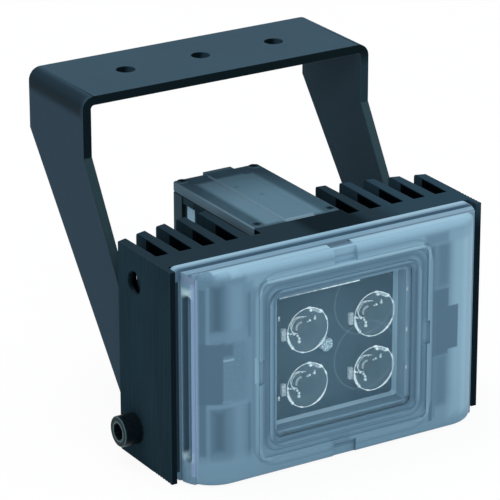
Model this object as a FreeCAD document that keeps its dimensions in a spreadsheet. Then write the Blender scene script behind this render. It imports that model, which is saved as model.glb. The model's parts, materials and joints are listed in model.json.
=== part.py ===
import FreeCAD, Part
import math
import os
import re
import Sketcher
from FreeCAD import Placement, Rotation, Vector

# A small LED floodlight on a U-bracket. Every piece is drawn in the lamp's frame, where x runs to
# the right across the head, y runs back from the front of the heatsink's lips and z runs up from
# the bottom of the head. seat() then moves it, so that the origin of the finished part is the
# middle bolt hole at the top face of the bracket.

os.makedirs("parts", exist_ok=True)
document = FreeCAD.newDocument("Illuminator")
sheet = document.addObject("Spreadsheet::Sheet", "Sizes")

sizes = {
    # Extruded heatsink
    "headWidth": 114,
    "headHeight": 70,
    "coverSeat": 4.6,
    "lipThick": 1.9,
    "baseThick": 9.4,
    "endWall": 3.4,
    "slotWidth": 4.6,
    "slotPitch": 8.3,
    "padHalf": 16,
    "bayRoom": 4,
    "slotCount": "=floor((headWidth / 2 - endWall - padHalf - bayRoom) / slotPitch)",
    "slotFlare": 0.45,
    "slotRoot": 0.3,
    "finReach": 27.9,
    "finCrown": 172,
    "padProud": 4.3,
    "toolRun": 1,
    "cornerRound": 1.2,
    "grooveCount": 7,
    "grooveStart": 1.65,
    "groovePitch": 1.5,
    "grooveWidth": 0.8,
    "grooveDeep": 0.35,
    # Tilt pivot
    "pivotBack": 22.2,
    "pivotHigh": 10.8,
    "shoulderBore": 7.4,
    "shoulderPlay": 0.05,
    "holeChamfer": 0.5,
    "pivotHead": 10,
    "pivotHeadLong": 6,
    "pivotHeadGap": 0.3,
    "pivotThread": 6,
    "pivotThreadLong": 3.6,
    "socketAcross": 5,
    "socketDeep": 3,
    # Bent bracket
    "sheetThick": 3,
    "bendInside": 1.2,
    "legPlay": 0.4,
    "plateTop": 107.4,
    "plateFront": 59.5,
    "plateDepth": 35.5,
    "kneeHigh": 87.5,
    "legAhead": 6.8,
    "legBehind": 9.7,
    "legHeelRound": 6,
    "boltHole": 6.4,
    "boltPitch": 27.7,
    # Frosted cover base
    "bowCentre": 41,
    "bowBack": 2.5,
    "bandRound": 12.5,
    "flangeFront": 1.4,
    "flangeRound": 2.5,
    "flangePlay": 0.1,
    "neckInset": 2.2,
    "neckLow": 1.2,
    "bandLow": 0.4,
    "bandFront": 4.4,
    "frontWall": 1.5,
    "cavityHalf": 48.5,
    "cavityLow": 3,
    "recessRear": 0.8,
    "recessFront": 3.6,
    "recessLow": 7.5,
    "recessDeep": 3,
    "gasketInset": 0.8,
    "gasketWide": 1.4,
    "gasketDeep": 0.9,
    "bossRadius": 3.25,
    "tongueHalf": 3.6,
    "tongueFront": 6.9,
    "tongueThick": 2.6,
    # Clear window
    "windowHalf": 23.7,
    "windowHalfHigh": 22.2,
    "windowRound": 1.2,
    "collarWall": 3.5,
    "collarFront": 7,
    "sealThick": 0.3,
    "paneThick": 1,
    "paneRoom": 0.3,
    # Clip-on front bezel
    "seamGap": 0.1,
    "wingFront": 9.6,
    "bezelLow": 0.2,
    "bezelWall": 1.5,
    "topRound": 2.5,
    "bottomRound": 1.2,
    "ridgeFront": 10,
    "ridgeHalf": 31.4,
    "ridgeHalfHigh": 29.9,
    "ridgeThick": 1,
    "ridgeRound": 3,
    "openingRoom": 1.5,
    "openingChamfer": 1.2,
    "rimHalf": 27.7,
    "rimHalfHigh": 25.7,
    "rimRound": 5,
    "moatDeep": 0.85,
    "pocketInner": 33.4,
    "pocketLow": 5.5,
    "pocketRib": 1.8,
    "notchHalf": 4.2,
    "notchFront": 7.5,
    "notchDeep": 3.8,
    "channelDeep": 1.2,
    "sideWindowNear": 29.2,
    "sideWindowFar": 31.6,
    "sideWindowHalf": 4,
    "sideWindowDeep": 1.2,
    # Light engine
    "lampHalf": 12.3,
    "lampHalfHigh": 9.2,
    "boardHalf": 26.3,
    "boardHalfHigh": 24.8,
    "boardFront": 0.1,
    "boardThick": 1.6,
    "padThick": 0.3,
    "spreaderInset": 1,
    "frameGap": 0.1,
    "lensRadius": 7.5,
    "lensTall": 6.9,
    "lensRim": 0.9,
    "lensFoot": 3.6,
    "lensFootUp": 0.8,
    "wellRadius": 2.5,
    "wellDeep": 3.8,
    "wellShoulder": 0.6,
    "dishRadius": 3.3,
    "dishDeep": 1.5,
    "legFar": 8.9,
    "legWide": 3.6,
    "chipHalf": 1.75,
    "chipThick": 0.7,
    "domeRadius": 1.5,
    "boardScrewLeft": 1.6,
    "boardScrewDown": 0.1,
    # Screws
    "coverScrewHigh": 12,
    "coverScrewThread": 2.5,
    "coverScrewHead": 4,
    "coverScrewHeadTall": 1.8,
    "coverScrewLong": 15.2,
    "boardScrewThread": 3,
    "boardScrewHead": 4.6,
    "boardScrewHeadTall": 1.5,
    "boardScrewLong": 12,
    "boxScrewThread": 3,
    "boxScrewHead": 5.2,
    "boxScrewHeadTall": 2,
    "boxScrewLong": 9,
    "boxScrewUp": 8,
    "boxScrewDown": 10,
    "lidScrewThread": 2,
    "lidScrewHead": 3.8,
    "lidScrewHeadTall": 1.5,
    "lidScrewLong": 9,
    "clearanceHole": 0.15,
    "threadFit": 0.03,
    # Terminal box
    "boxDepth": 50.3,
    "boxLow": 18,
    "boxWall": 2,
    "boxRound": 1,
    "panelDeep": 0.9,
    "panelInset": 6,
    "lidThick": 3,
    "lidGasket": 0.6,
    "lidGasketIn": 0.3,
    "lidGasketWide": 0.6,
    "lidEdge": 0.5,
    "lidStripProud": 0.4,
    "lidStripLeft": 4.2,
    "lidStripRight": 6.4,
    "lidScrewInset": 2.5,
    "lidScrewFront": 2.5,
    "lidScrewRear": 2,
    "lidBoss": 2.4,
    "lidLip": 1,
    # Driver inside the terminal box
    "driverSide": 1.5,
    "driverUp": 8,
    "driverRoom": 3.4,
    "driverThick": 1.6,
    "postLong": 3.2,
    "postRadius": 2,
    "postSide": 9.5,
    "postInset": 4,
    "terminalHalf": 6,
    "terminalTall": 9,
    "terminalDeep": 8,
    "terminalUp": 2,
    "wireMouth": 1.2,
    "partsDown": 9,
    "chokeRadius": 5,
    "chokeLong": 7,
    "capacitorRadius": 4,
    "capacitorLong": 11,
    "partsAside": 6,
    # Leads
    "leadUp": 11,
    "leadHole": 6,
    "leadRadius": 0.8,
    "leadAside": 1.3,
    "leadDrop": 3,
    # Cable gland
    "glandBack": 45,
    "glandThread": 12,
    "glandHex": 14,
    "glandHexTall": 4.5,
    "glandAbove": 7,
    "glandBelow": 6.5,
    "locknutHex": 15,
    "locknutTall": 2.8,
    "nutTall": 10.2,
    "cableBore": 6.4,
    "sleeveStep": 0.4,
    "nutGap": 0.3,
    "sealTall": 2.6,
}
for row, (alias, amount) in enumerate(sizes.items(), 1):
    sheet.set("A%d" % row, str(amount))
    sheet.setAlias("A%d" % row, alias)
document.recompute()

# Sizes that several pieces share, worked out from the sheet
baseRear = "(coverSeat + baseThick)"
padRear = "(coverSeat + baseThick + padProud)"
bayHalf = "(headWidth / 2 - endWall - slotCount * slotPitch)"
finTip = "(coverSeat + baseThick + finReach)"
middleHigh = "(headHeight / 2)"
legOuter = "(headWidth / 2 - endWall - legPlay)"
legInner = "(headWidth / 2 - endWall - legPlay - sheetThick)"
coverScrewAside = "(headWidth / 2 - endWall - 2 * slotPitch - slotWidth / 2)"
collarHalf = "(windowHalf + collarWall)"
collarHalfHigh = "(windowHalfHigh + collarWall)"
paneRear = "(collarFront + sealThick)"
paneFront = "(collarFront + sealThick + paneThick)"
boardRear = "(boardFront - boardThick)"
boxRear = "(coverSeat + baseThick + padProud + boxDepth)"
boxInnerRear = "(coverSeat + baseThick + padProud + boxDepth - boxWall)"
boxTop = "(headHeight - lidThick - lidGasket)"
lidBottom = "(headHeight - lidThick)"
driverRear = "(coverSeat + baseThick + padProud + boxDepth - boxWall - postLong)"
driverFront = "(coverSeat + baseThick + padProud + boxDepth - boxWall - postLong - driverThick)"
lidScrewAside = "(padHalf - lidScrewInset)"
boxScrewHighs = ["(boxLow + boxScrewUp)", "(headHeight - boxScrewDown)"]
leadHigh = "(headHeight / 2 + leadUp)"
driverHalf = "(padHalf - boxWall - driverSide)"
driverLow = "(boxLow + driverUp)"
driverTop = "(headHeight - lidThick - lidGasket - driverRoom)"
sleeve = "(glandThread / 2 - sleeveStep)"
lidScrewBacks = ["(" + padRear + " + lidScrewFront)", "(" + boxRear + " - lidScrewRear)"]


def bound(text):
    """An expression in which each alias points at the sheet."""
    return re.sub(r"[A-Za-z]\w*", lambda word: "Sizes." + word[0] if word[0] in sizes else word[0], text)


def number(item, text):
    return float(item.evalExpression(bound(text)))


def newBody(name):
    body = document.addObject("PartDesign::Body", name)
    body.Label = name
    return body


def seat(body, across="0", back="0", up="0", turn=Rotation()):
    """Places a body by a point in the lamp's frame."""
    body.Placement = Placement(Vector(), turn)
    body.setExpression("Placement.Base.x", bound(across))
    body.setExpression("Placement.Base.y", bound(back + " - plateFront - plateDepth / 2"))
    body.setExpression("Placement.Base.z", bound(up + " - plateTop"))
    return body


planes = {"plan": "XY_Plane", "front": "XZ_Plane", "side": "YZ_Plane"}


def newSketch(body, view, lift="0"):
    """A sketch on an origin plane. The front view looks back, so its normal points to the front."""
    item = body.newObject("Sketcher::SketchObject", "Sketch")
    plane = [feature for feature in body.Origin.OriginFeatures if feature.Role == planes[view]][0]
    item.AttachmentSupport = [(plane, "")]
    item.MapMode = "FlatFace"
    item.setExpression("AttachmentOffset.Base.z", bound("-(" + lift + ")" if view == "front" else lift))
    return item


def fix(item, geometry, end, x, y):
    """Ties one point of a sketch to two expressions."""
    for kind, text in (("DistanceX", x), ("DistanceY", y)):
        index = item.addConstraint(Sketcher.Constraint(kind, geometry, end, number(item, text)))
        item.setExpression("Constraints[%d]" % index, bound(text))


def measure(item, kind, text, *places):
    index = item.addConstraint(Sketcher.Constraint(kind, *places, number(item, text)))
    item.setExpression("Constraints[%d]" % index, bound(text))


def arcBetween(centre, start, end):
    """An anticlockwise arc."""
    first = math.atan2(start.y - centre.y, start.x - centre.x)
    last = math.atan2(end.y - centre.y, end.x - centre.x)
    circle = Part.Circle(centre, Vector(0, 0, 1), centre.distanceToPoint(start))
    return Part.ArcOfCircle(circle, first, last if last > first else last + 2 * math.pi)


def outline(item, corners, bows=None, closed=True):
    """Draws straight sides through corners (x, y) that run anticlockwise.

    A corner with a third entry is rounded to that radius. bows gives the radius of a side that
    bulges outwards, by the index of the corner where it starts.
    """
    bows = bows or {}
    spots = [Vector(number(item, corner[0]), number(item, corner[1]), 0) for corner in corners]
    count = len(corners)
    arrive = list(spots)
    leave = list(spots)
    rounds = {}
    for index, corner in enumerate(corners):
        if len(corner) < 3:
            continue
        before = (spots[index - 1] - spots[index]).normalize()
        after = (spots[(index + 1) % count] - spots[index]).normalize()
        half = before.getAngle(after) / 2
        radius = number(item, corner[2])
        arrive[index] = spots[index] + before * (radius / math.tan(half))
        leave[index] = spots[index] + after * (radius / math.tan(half))
        centre = spots[index] + (before + after).normalize() * (radius / math.sin(half))
        rounds[index] = (centre, before.cross(after).z < 0)
    sides = {}
    for index in range(count if closed else count - 1):
        start = leave[index]
        end = arrive[(index + 1) % count]
        if index in bows:
            radius = number(item, bows[index])
            chord = end - start
            inward = Vector(-chord.y, chord.x, 0).normalize()
            depth = math.sqrt(radius ** 2 - (chord.Length / 2) ** 2)
            sides[index] = item.addGeometry(arcBetween((start + end) * 0.5 + inward * depth, start, end))
            measure(item, "Radius", bows[index], sides[index])
        else:
            sides[index] = item.addGeometry(Part.LineSegment(start, end))
    for index, corner in enumerate(corners):
        if not closed and index in (0, count - 1):
            last = index > 0
            fix(item, sides[count - 2] if last else sides[0], 2 if last else 1, corner[0], corner[1])
            continue
        before = sides[(index - 1) % count]
        after = sides[index]
        if index not in rounds:
            item.addConstraint(Sketcher.Constraint("Coincident", before, 2, after, 1))
            fix(item, after, 1, corner[0], corner[1])
            continue
        centre, convex = rounds[index]
        ends = (arrive[index], leave[index]) if convex else (leave[index], arrive[index])
        arc = item.addGeometry(arcBetween(centre, *ends))
        item.addConstraint(Sketcher.Constraint("Tangent", before, 2, arc, 1 if convex else 2))
        item.addConstraint(Sketcher.Constraint("Tangent", after, 1, arc, 2 if convex else 1))
        measure(item, "Radius", corner[2], arc)
        point = item.addGeometry(Part.Point(spots[index]))
        item.toggleConstruction(point)
        fix(item, point, 1, corner[0], corner[1])
        item.addConstraint(Sketcher.Constraint("PointOnObject", point, 1, before))
        item.addConstraint(Sketcher.Constraint("PointOnObject", point, 1, after))


def disc(item, x, y, radius):
    centre = Vector(number(item, x), number(item, y), 0)
    circle = item.addGeometry(Part.Circle(centre, Vector(0, 0, 1), number(item, radius)))
    fix(item, circle, 3, x, y)
    measure(item, "Radius", radius, circle)


def draw(item, shapes):
    """A list is an outline, a triple is a circle, and a pair is an outline with its bows."""
    for shape in shapes:
        if isinstance(shape, list):
            outline(item, shape)
        elif len(shape) == 3:
            disc(item, *shape)
        else:
            outline(item, *shape)


def rectangle(left, low, right, high, radius=None):
    corners = [(left, low), (right, low), (right, high), (left, high)]
    return [corner + (radius,) for corner in corners] if radius else corners


def frameOf(half, halfHigh, radius=None):
    """A rectangle round the middle of the head, in the front view."""
    low = middleHigh + " - (" + halfHigh + ")"
    high = middleHigh + " + (" + halfHigh + ")"
    return rectangle("-(" + half + ")", low, half, high, radius)


def hexagon(across):
    return [(across + " / sqrt(3) * cos(%d)" % turn, across + " / sqrt(3) * sin(%d)" % turn)
            for turn in range(0, 360, 60)]


def layer(body, kind, view, shapes, begin, end):
    """Pads or pockets shapes from begin to end, which run to the front in a front view."""
    item = newSketch(body, view, begin)
    draw(item, shapes)
    feature = body.newObject("PartDesign::" + kind, kind)
    feature.Profile = item
    feature.setExpression("Length", bound("abs((%s) - (%s))" % (end, begin)))
    feature.Reversed = kind == "Pocket"
    return feature


def pad(body, view, shapes, begin, end):
    return layer(body, "Pad", view, shapes, begin, end)


def cut(body, view, shapes, begin, end):
    return layer(body, "Pocket", view, shapes, begin, end)


def spin(body, corners, bows=None):
    """Turns an outline of (radius, height) about the body's own z axis."""
    item = newSketch(body, "front")
    outline(item, corners, bows)
    feature = body.newObject("PartDesign::Revolution", "Revolution")
    feature.Profile = item
    feature.ReferenceAxis = (item, ["V_Axis"])
    feature.Angle = 360
    return feature


def dress(body, kind, size, wanted):
    """Fillets or chamfers the edges of the body that the test picks."""
    document.recompute()
    base = body.Tip
    names = ["Edge%d" % (index + 1) for index, edge in enumerate(base.Shape.Edges) if wanted(edge)]
    feature = body.newObject("PartDesign::" + kind, kind)
    feature.Base = (base, names)
    feature.setExpression("Radius" if kind == "Fillet" else "Size", bound(size))
    return feature


def ends(edge):
    return [vertex.Point for vertex in edge.Vertexes]


def near(first, second):
    return abs(first - second) < 0.001


def makeHeatsink():
    body = newBody("heatsink")
    half = "headWidth / 2"
    tip = finTip + " - (finCrown - sqrt(finCrown^2 - (headWidth / 2)^2))"
    block = [("-headWidth / 2", "0"), (half, "0"), (half, tip), ("-headWidth / 2", tip)]
    pad(body, "plan", [(block, {2: "finCrown"})], "0", "headHeight")
    dress(body, "Fillet", "cornerRound", lambda edge: len(ends(edge)) == 2
          and all(abs(abs(end.x) - number(body, half)) < 0.001 and end.y > 1 for end in ends(edge))
          and near(ends(edge)[0].y, ends(edge)[1].y))
    coverRoom = "(headWidth / 2 - lipThick)"
    cut(body, "plan", [rectangle("-" + coverRoom, "-toolRun", coverRoom, "coverSeat")], "0", "headHeight")
    far = finTip + " + toolRun"
    slots = []
    for index in range(int(sheet.get("slotCount"))):
        outer = "(headWidth / 2 - endWall - %d * slotPitch)" % index
        inner = "(headWidth / 2 - endWall - slotWidth - %d * slotPitch)" % index
        slots.append([(inner, baseRear, "slotRoot"), (outer, baseRear, "slotRoot"),
                      (outer + " + slotFlare", far), (inner + " - slotFlare", far)])
        slots.append([("-" + outer, baseRear, "slotRoot"), ("-" + inner, baseRear, "slotRoot"),
                      ("slotFlare - " + inner, far), ("-slotFlare - " + outer, far)])
    bay = [("-" + bayHalf, baseRear, "slotRoot"), ("-padHalf", baseRear), ("-padHalf", padRear),
           ("padHalf", padRear), ("padHalf", baseRear), (bayHalf, baseRear, "slotRoot"),
           (bayHalf + " + slotFlare", far), ("-slotFlare - " + bayHalf, far)]
    cut(body, "plan", slots + [bay], "0", "headHeight")
    grooves = []
    for index in range(int(sheet.get("grooveCount"))):
        middle = "(grooveStart + %d * groovePitch)" % index
        ahead = middle + " - grooveWidth / 2"
        behind = middle + " + grooveWidth / 2"
        grooves.append([(half + " - grooveDeep", middle), (half, ahead), (half + " + toolRun", ahead),
                        (half + " + toolRun", behind), (half, behind)])
        grooves.append([("-headWidth / 2 + grooveDeep", middle), ("-headWidth / 2", behind),
                        ("-headWidth / 2 - toolRun", behind), ("-headWidth / 2 - toolRun", ahead),
                        ("-headWidth / 2", ahead)])
    cut(body, "plan", grooves, "0", "headHeight")
    pivots = [("pivotBack", "pivotHigh", "shoulderBore / 2"),
              ("pivotBack", "headHeight - pivotHigh", "shoulderBore / 2")]
    wallInner = "(headWidth / 2 - endWall - slotFlare)"
    cut(body, "side", pivots, "-headWidth / 2", "-" + wallInner)
    cut(body, "side", pivots, wallInner, half)
    dress(body, "Chamfer", "holeChamfer", lambda edge: len(ends(edge)) == 1
          and near(abs(edge.CenterOfMass.x), number(body, half)))
    cut(body, "front", [("0", leadHigh, "leadHole / 2")], padRear, "coverSeat")
    cut(body, "front", [("-boardScrewLeft", middleHigh + " - boardScrewDown",
                         "boardScrewThread / 2 + threadFit")], "boardScrewLong", "coverSeat")
    cut(body, "front", [("0", high, "boxScrewThread / 2 + threadFit") for high in boxScrewHighs],
        padRear, padRear + " - boxScrewLong")
    cut(body, "front", [(side + coverScrewAside, high, "coverScrewThread / 2 + clearanceHole")
                        for side in ("", "-") for high in ("coverScrewHigh", "headHeight - coverScrewHigh")],
        baseRear, "coverSeat")
    return seat(body)


def bowAt(radius, depth):
    """Where the rounded end of the cover stands at a depth in front of the lips."""
    return "(bowCentre + sqrt((%s)^2 - (bowBack + %s)^2))" % (radius, depth)


def bowed(radius, front, rear):
    """The plan of a cover piece: flat across the front, rounded at both ends."""
    wide = bowAt(radius, rear)
    narrow = bowAt(radius, front)
    corners = [("-" + narrow, "-" + front), (narrow, "-" + front), (wide, "-" + rear), ("-" + wide, "-" + rear)]
    return (corners, {1: radius, 3: radius})


def makeCoverBase():
    body = newBody("cover_base")
    flange = "(headWidth / 2 - lipThick - flangePlay)"
    neck = "(headWidth / 2 - lipThick - flangePlay - neckInset)"
    pad(body, "plan", [bowed("bandRound", "bandFront", "0")], "bandLow", "headHeight - bandLow")
    pad(body, "front", [frameOf(neck, "headHeight / 2 - neckLow", "flangeRound")], "coverSeat", "0")
    pad(body, "front", [frameOf(flange, "headHeight / 2", "flangeRound")], "coverSeat", "flangeFront")
    pad(body, "front", [frameOf(collarHalf, collarHalfHigh, "collarWall")], "0", "-collarFront")
    pad(body, "front", [rectangle("-tongueHalf", "bandLow", "tongueHalf", "bandLow + tongueThick"),
                        rectangle("-tongueHalf", "headHeight - bandLow - tongueThick", "tongueHalf",
                                  "headHeight - bandLow")], "0", "-tongueFront")
    inside = frameOf("cavityHalf", "headHeight / 2 - cavityLow", "cavityLow")
    cut(body, "front", [inside], "coverSeat", "frontWall - bandFront")
    bosses = [(side + coverScrewAside, high, "bossRadius") for side in ("", "-")
              for high in ("coverScrewHigh", "headHeight - coverScrewHigh")]
    pad(body, "front", bosses, "coverSeat", "frontWall / 2 - bandFront")
    holes = [boss[:2] + ("coverScrewThread / 2 + threadFit",) for boss in bosses]
    cut(body, "front", holes, "coverSeat", "coverSeat + baseThick - coverScrewLong")
    opening = frameOf("windowHalf", "windowHalfHigh", "windowRound")
    cut(body, "front", [opening], "0", "-collarFront")
    groove = [frameOf(flange + " - gasketInset", "headHeight / 2 - gasketInset", "flangeRound"),
              frameOf(flange + " - gasketInset - gasketWide", "headHeight / 2 - gasketInset - gasketWide",
                      "flangeRound - gasketWide / 2")]
    cut(body, "front", groove, "coverSeat", "coverSeat - gasketDeep")
    recess = [rectangle("-recessFront", "recessLow", "-recessRear", "headHeight - recessLow",
                        "(recessFront - recessRear) / 2.2")]
    recessFloor = "(" + bowAt("bandRound", "0") + " - recessDeep)"
    cut(body, "side", recess, recessFloor, "headWidth / 2")
    cut(body, "side", recess, "-headWidth / 2", "-" + recessFloor)
    return seat(body)


def makeGasket():
    body = newBody("cover_gasket")
    flange = "(headWidth / 2 - lipThick - flangePlay)"
    ring = [frameOf(flange + " - gasketInset", "headHeight / 2 - gasketInset", "flangeRound"),
            frameOf(flange + " - gasketInset - gasketWide", "headHeight / 2 - gasketInset - gasketWide",
                    "flangeRound - gasketWide / 2")]
    pad(body, "front", ring, "coverSeat", "coverSeat - gasketDeep")
    return seat(body)


def makePane():
    """The clear pane, and the dark seal that it presses on the collar."""
    pane = newBody("window_pane")
    edge = frameOf(collarHalf, collarHalfHigh, "collarWall")
    pad(pane, "front", [edge], "-" + paneRear, "-" + paneFront)
    seal = newBody("pane_seal")
    pad(seal, "front", [edge, frameOf("windowHalf", "windowHalfHigh", "windowRound")], "-collarFront",
        "-" + paneRear)
    return [seat(pane), seat(seal)]


def makeBezel():
    body = newBody("front_bezel")
    seam = "(bandFront + seamGap)"
    wingRound = "(wingFront + bowBack)"
    pad(body, "plan", [bowed(wingRound, "wingFront", seam)], "bezelLow", "headHeight - bezelLow")
    for high, radius in (("headHeight - bezelLow", "topRound"), ("bezelLow", "bottomRound")):
        level = number(body, high)
        rear = -number(body, seam)
        dress(body, "Fillet", radius, lambda edge: all(near(end.z, level) for end in ends(edge))
              and not all(near(end.y, rear) for end in ends(edge)))
    pad(body, "front", [frameOf("ridgeHalf", "ridgeHalfHigh", "ridgeRound")], "moatDeep - ridgeFront",
        "-ridgeFront")
    ridgeInner = frameOf("ridgeHalf - ridgeThick", "ridgeHalfHigh - ridgeThick", "ridgeRound - ridgeThick")
    rim = frameOf("rimHalf", "rimHalfHigh", "rimRound")
    cut(body, "front", [ridgeInner, rim], "moatDeep - ridgeFront", "-ridgeFront")
    sideWindows = [rectangle("sideWindowNear", middleHigh + " - sideWindowHalf", "sideWindowFar",
                             middleHigh + " + sideWindowHalf"),
                   rectangle("-sideWindowFar", middleHigh + " - sideWindowHalf", "-sideWindowNear",
                             middleHigh + " + sideWindowHalf")]
    cut(body, "front", sideWindows, "sideWindowDeep - ridgeFront", "-ridgeFront")
    paneRoom = frameOf(collarHalf + " + paneRoom", collarHalfHigh + " + paneRoom", "collarWall")
    cut(body, "front", [paneRoom], "-" + seam, "-" + paneFront + " - seamGap")
    openHalf = "(windowHalf + openingRoom)"
    openHalfHigh = "(windowHalfHigh + openingRoom)"
    cut(body, "front", [frameOf(openHalf, openHalfHigh, "windowRound + openingRoom")], "-" + seam, "-ridgeFront")
    dress(body, "Chamfer", "openingChamfer", lambda edge: all(
        near(end.y, -number(body, "ridgeFront")) and abs(end.x) < number(body, openHalf) + 0.001
        and abs(end.z - number(body, middleHigh)) < number(body, openHalfHigh) + 0.001 for end in ends(edge)))
    pocketHigh = "(headHeight - 2 * pocketLow - 2 * pocketRib) / 3"
    pocketFront = "(wingFront - bezelWall)"
    pocketRound = "(wingFront + bowBack - bezelWall)"
    wide = bowAt(pocketRound, seam)
    right = [("pocketInner", "-" + pocketFront), ("bowCentre", "-" + pocketFront), (wide, "-" + seam),
             ("pocketInner", "-" + seam)]
    left = [("-bowCentre", "-" + pocketFront), ("-pocketInner", "-" + pocketFront),
            ("-pocketInner", "-" + seam), ("-" + wide, "-" + seam)]
    for index in range(3):
        low = "pocketLow + %d * (%s + pocketRib)" % (index, pocketHigh)
        cut(body, "plan", [(right, {1: pocketRound}), (left, {3: pocketRound})], low, low + " + " + pocketHigh)
    for low, high in (("headHeight - notchDeep", "headHeight"), ("0", "notchDeep")):
        cut(body, "front", [rectangle("-notchHalf", low, "notchHalf", high)], "-" + seam, "-notchFront")
    channelLow = "(headHeight / 2 - ridgeHalfHigh)"
    for low, high in (("headHeight - " + channelLow, "headHeight"), ("0", channelLow)):
        cut(body, "front", [rectangle("-notchHalf", low, "notchHalf", high)],
            "channelDeep - wingFront", "-ridgeFront")
    return seat(body)


def makeLightEngine():
    screwHigh = middleHigh + " - boardScrewDown"
    leadHole = ("0", leadHigh, "leadHole / 2")
    screwHole = ("-boardScrewLeft", screwHigh, "boardScrewThread / 2 + clearanceHole")
    spreader = newBody("heat_spreader")
    half = "boardHalf - spreaderInset"
    halfHigh = "boardHalfHigh - spreaderInset"
    pad(spreader, "front", [frameOf(half, halfHigh), leadHole, screwHole], "coverSeat",
        "-(" + boardRear + ") + padThick")
    thermal = newBody("thermal_pad")
    pad(thermal, "front", [frameOf(half, halfHigh), leadHole, screwHole],
        "-(" + boardRear + ") + padThick", "-(" + boardRear + ")")
    board = newBody("led_board")
    pad(board, "front", [frameOf("boardHalf", "boardHalfHigh", "spreaderInset"), screwHole],
        "-(" + boardRear + ")", "-boardFront")
    screw = makeScrew("board_screw", "boardScrewHead", "boardScrewHeadTall", "boardScrewThread",
                      "boardScrewLong + boardFront")
    seat(screw, "-boardScrewLeft", "-boardFront", screwHigh, Rotation(Vector(1, 0, 0), 90))
    spacer = newBody("board_frame")
    pad(spacer, "front", [frameOf("boardHalf", "boardHalfHigh", "spreaderInset"),
                          frameOf("windowHalf", "windowHalfHigh", "windowRound")], "-boardFront",
        "-(bandFront - frontWall - frameGap)")
    return [seat(spreader), seat(thermal), seat(board), seat(spacer), screw]


def makeLamp(name, across, up):
    """One emitter and the clear collimator that stands over it on three legs."""
    place = (across, "-boardFront", middleHigh + up)
    facing = Rotation(Vector(1, 0, 0), 90)
    chip = newBody("led_" + name)
    pad(chip, "plan", [rectangle("-chipHalf", "-chipHalf", "chipHalf", "chipHalf")], "0", "chipThick")
    dome = [("0", "chipThick"), ("domeRadius", "chipThick"), ("0", "chipThick + domeRadius")]
    spin(chip, dome, {1: "domeRadius"})
    lens = newBody("lens_" + name)
    rimLow = "(lensTall - lensRim)"
    profile = [("wellRadius", "lensFootUp"), ("lensFoot", "lensFootUp"), ("lensRadius - lensRim", rimLow),
               ("lensRadius", rimLow), ("lensRadius", "lensTall"), ("dishRadius", "lensTall"),
               ("dishRadius * 0.7", "lensTall - dishDeep"), ("0", "lensTall - dishDeep"),
               ("0", "wellDeep"), ("wellRadius * 0.8", "wellDeep - wellShoulder")]
    spin(lens, profile, {1: "lensRadius * 1.6"})
    leg = pad(lens, "plan", [rectangle("-legFar", "-legWide / 2", "-lensRadius + lensRim / 2", "legWide / 2")],
              "0", "lensTall")
    document.recompute()
    pattern = lens.newObject("PartDesign::PolarPattern", "Legs")
    pattern.Originals = [leg]
    pattern.Axis = (leg.Profile[0], ["N_Axis"])
    pattern.Angle = 360
    pattern.Occurrences = 3
    lens.Tip = pattern
    return [seat(chip, *place, facing), seat(lens, *place, facing * Rotation(Vector(0, 0, 1), 10))]


def makeScrew(name, head, headTall, thread, long):
    """A pan head screw: its seat is at height 0 and its head points up."""
    body = newBody(name)
    radius = head + " / 2"
    shank = thread + " / 2"
    spin(body, [("0", "-(" + long + ")"), (shank, "-(" + long + ")"), (shank, "0"), (radius, "0"),
                (radius, headTall, headTall + " * 0.35"), ("0", headTall)])
    return body


def makeCoverScrews():
    screws = []
    for side, across in (("left", "-" + coverScrewAside), ("right", coverScrewAside)):
        for level, up in (("bottom", "coverScrewHigh"), ("top", "headHeight - coverScrewHigh")):
            screw = makeScrew("cover_screw_%s_%s" % (level, side), "coverScrewHead", "coverScrewHeadTall",
                              "coverScrewThread", "coverScrewLong - clearanceHole")
            screws.append(seat(screw, across, baseRear, up, Rotation(Vector(1, 0, 0), -90)))
    return screws


def makeBox():
    body = newBody("terminal_box")
    wall = rectangle("-padHalf", padRear, "padHalf", boxRear, "boxRound")
    pad(body, "plan", [wall], "boxLow", boxTop)
    inner = "(padHalf - boxWall)"
    room = rectangle("-" + inner, padRear + " + boxWall", inner, boxInnerRear, "boxRound / 2")
    cut(body, "plan", [room], "boxLow + boxWall", boxTop)
    panel = [rectangle(padRear + " + panelInset", "boxLow + panelInset", boxRear + " - panelInset",
                       boxTop + " - panelInset / 3", "boxRound")]
    cut(body, "side", panel, "-padHalf", "panelDeep - padHalf")
    cut(body, "side", panel, "padHalf - panelDeep", "padHalf")
    columns = [(side + lidScrewAside, back, "lidBoss") for side in ("", "-") for back in lidScrewBacks]
    pad(body, "plan", columns, boxTop + " - lidScrewLong", boxTop)
    holes = [column[:2] + ("lidScrewThread / 2 + threadFit",) for column in columns]
    cut(body, "plan", holes, boxTop + " - lidScrewLong + toolRun", boxTop)
    posts = [(side + "postSide", up, "postRadius") for side in ("", "-")
             for up in (driverLow + " + postInset", driverTop + " - postInset")]
    pad(body, "front", posts, boxRear + " - boxWall / 2", driverRear)
    pins = [post[:2] + ("postRadius / 2",) for post in posts]
    pad(body, "front", pins, boxRear + " - boxWall / 2", driverFront + " - driverThick / 2")
    inlets = [("0", high, "boxScrewThread / 2 + clearanceHole") for high in boxScrewHighs]
    inlets.append(("0", leadHigh, "leadHole / 2"))
    cut(body, "front", inlets, padRear + " + boxWall", padRear)
    cut(body, "plan", [("0", "glandBack", "glandThread / 2 + clearanceHole")], "boxLow", "boxLow + boxWall")
    return seat(body)


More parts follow.
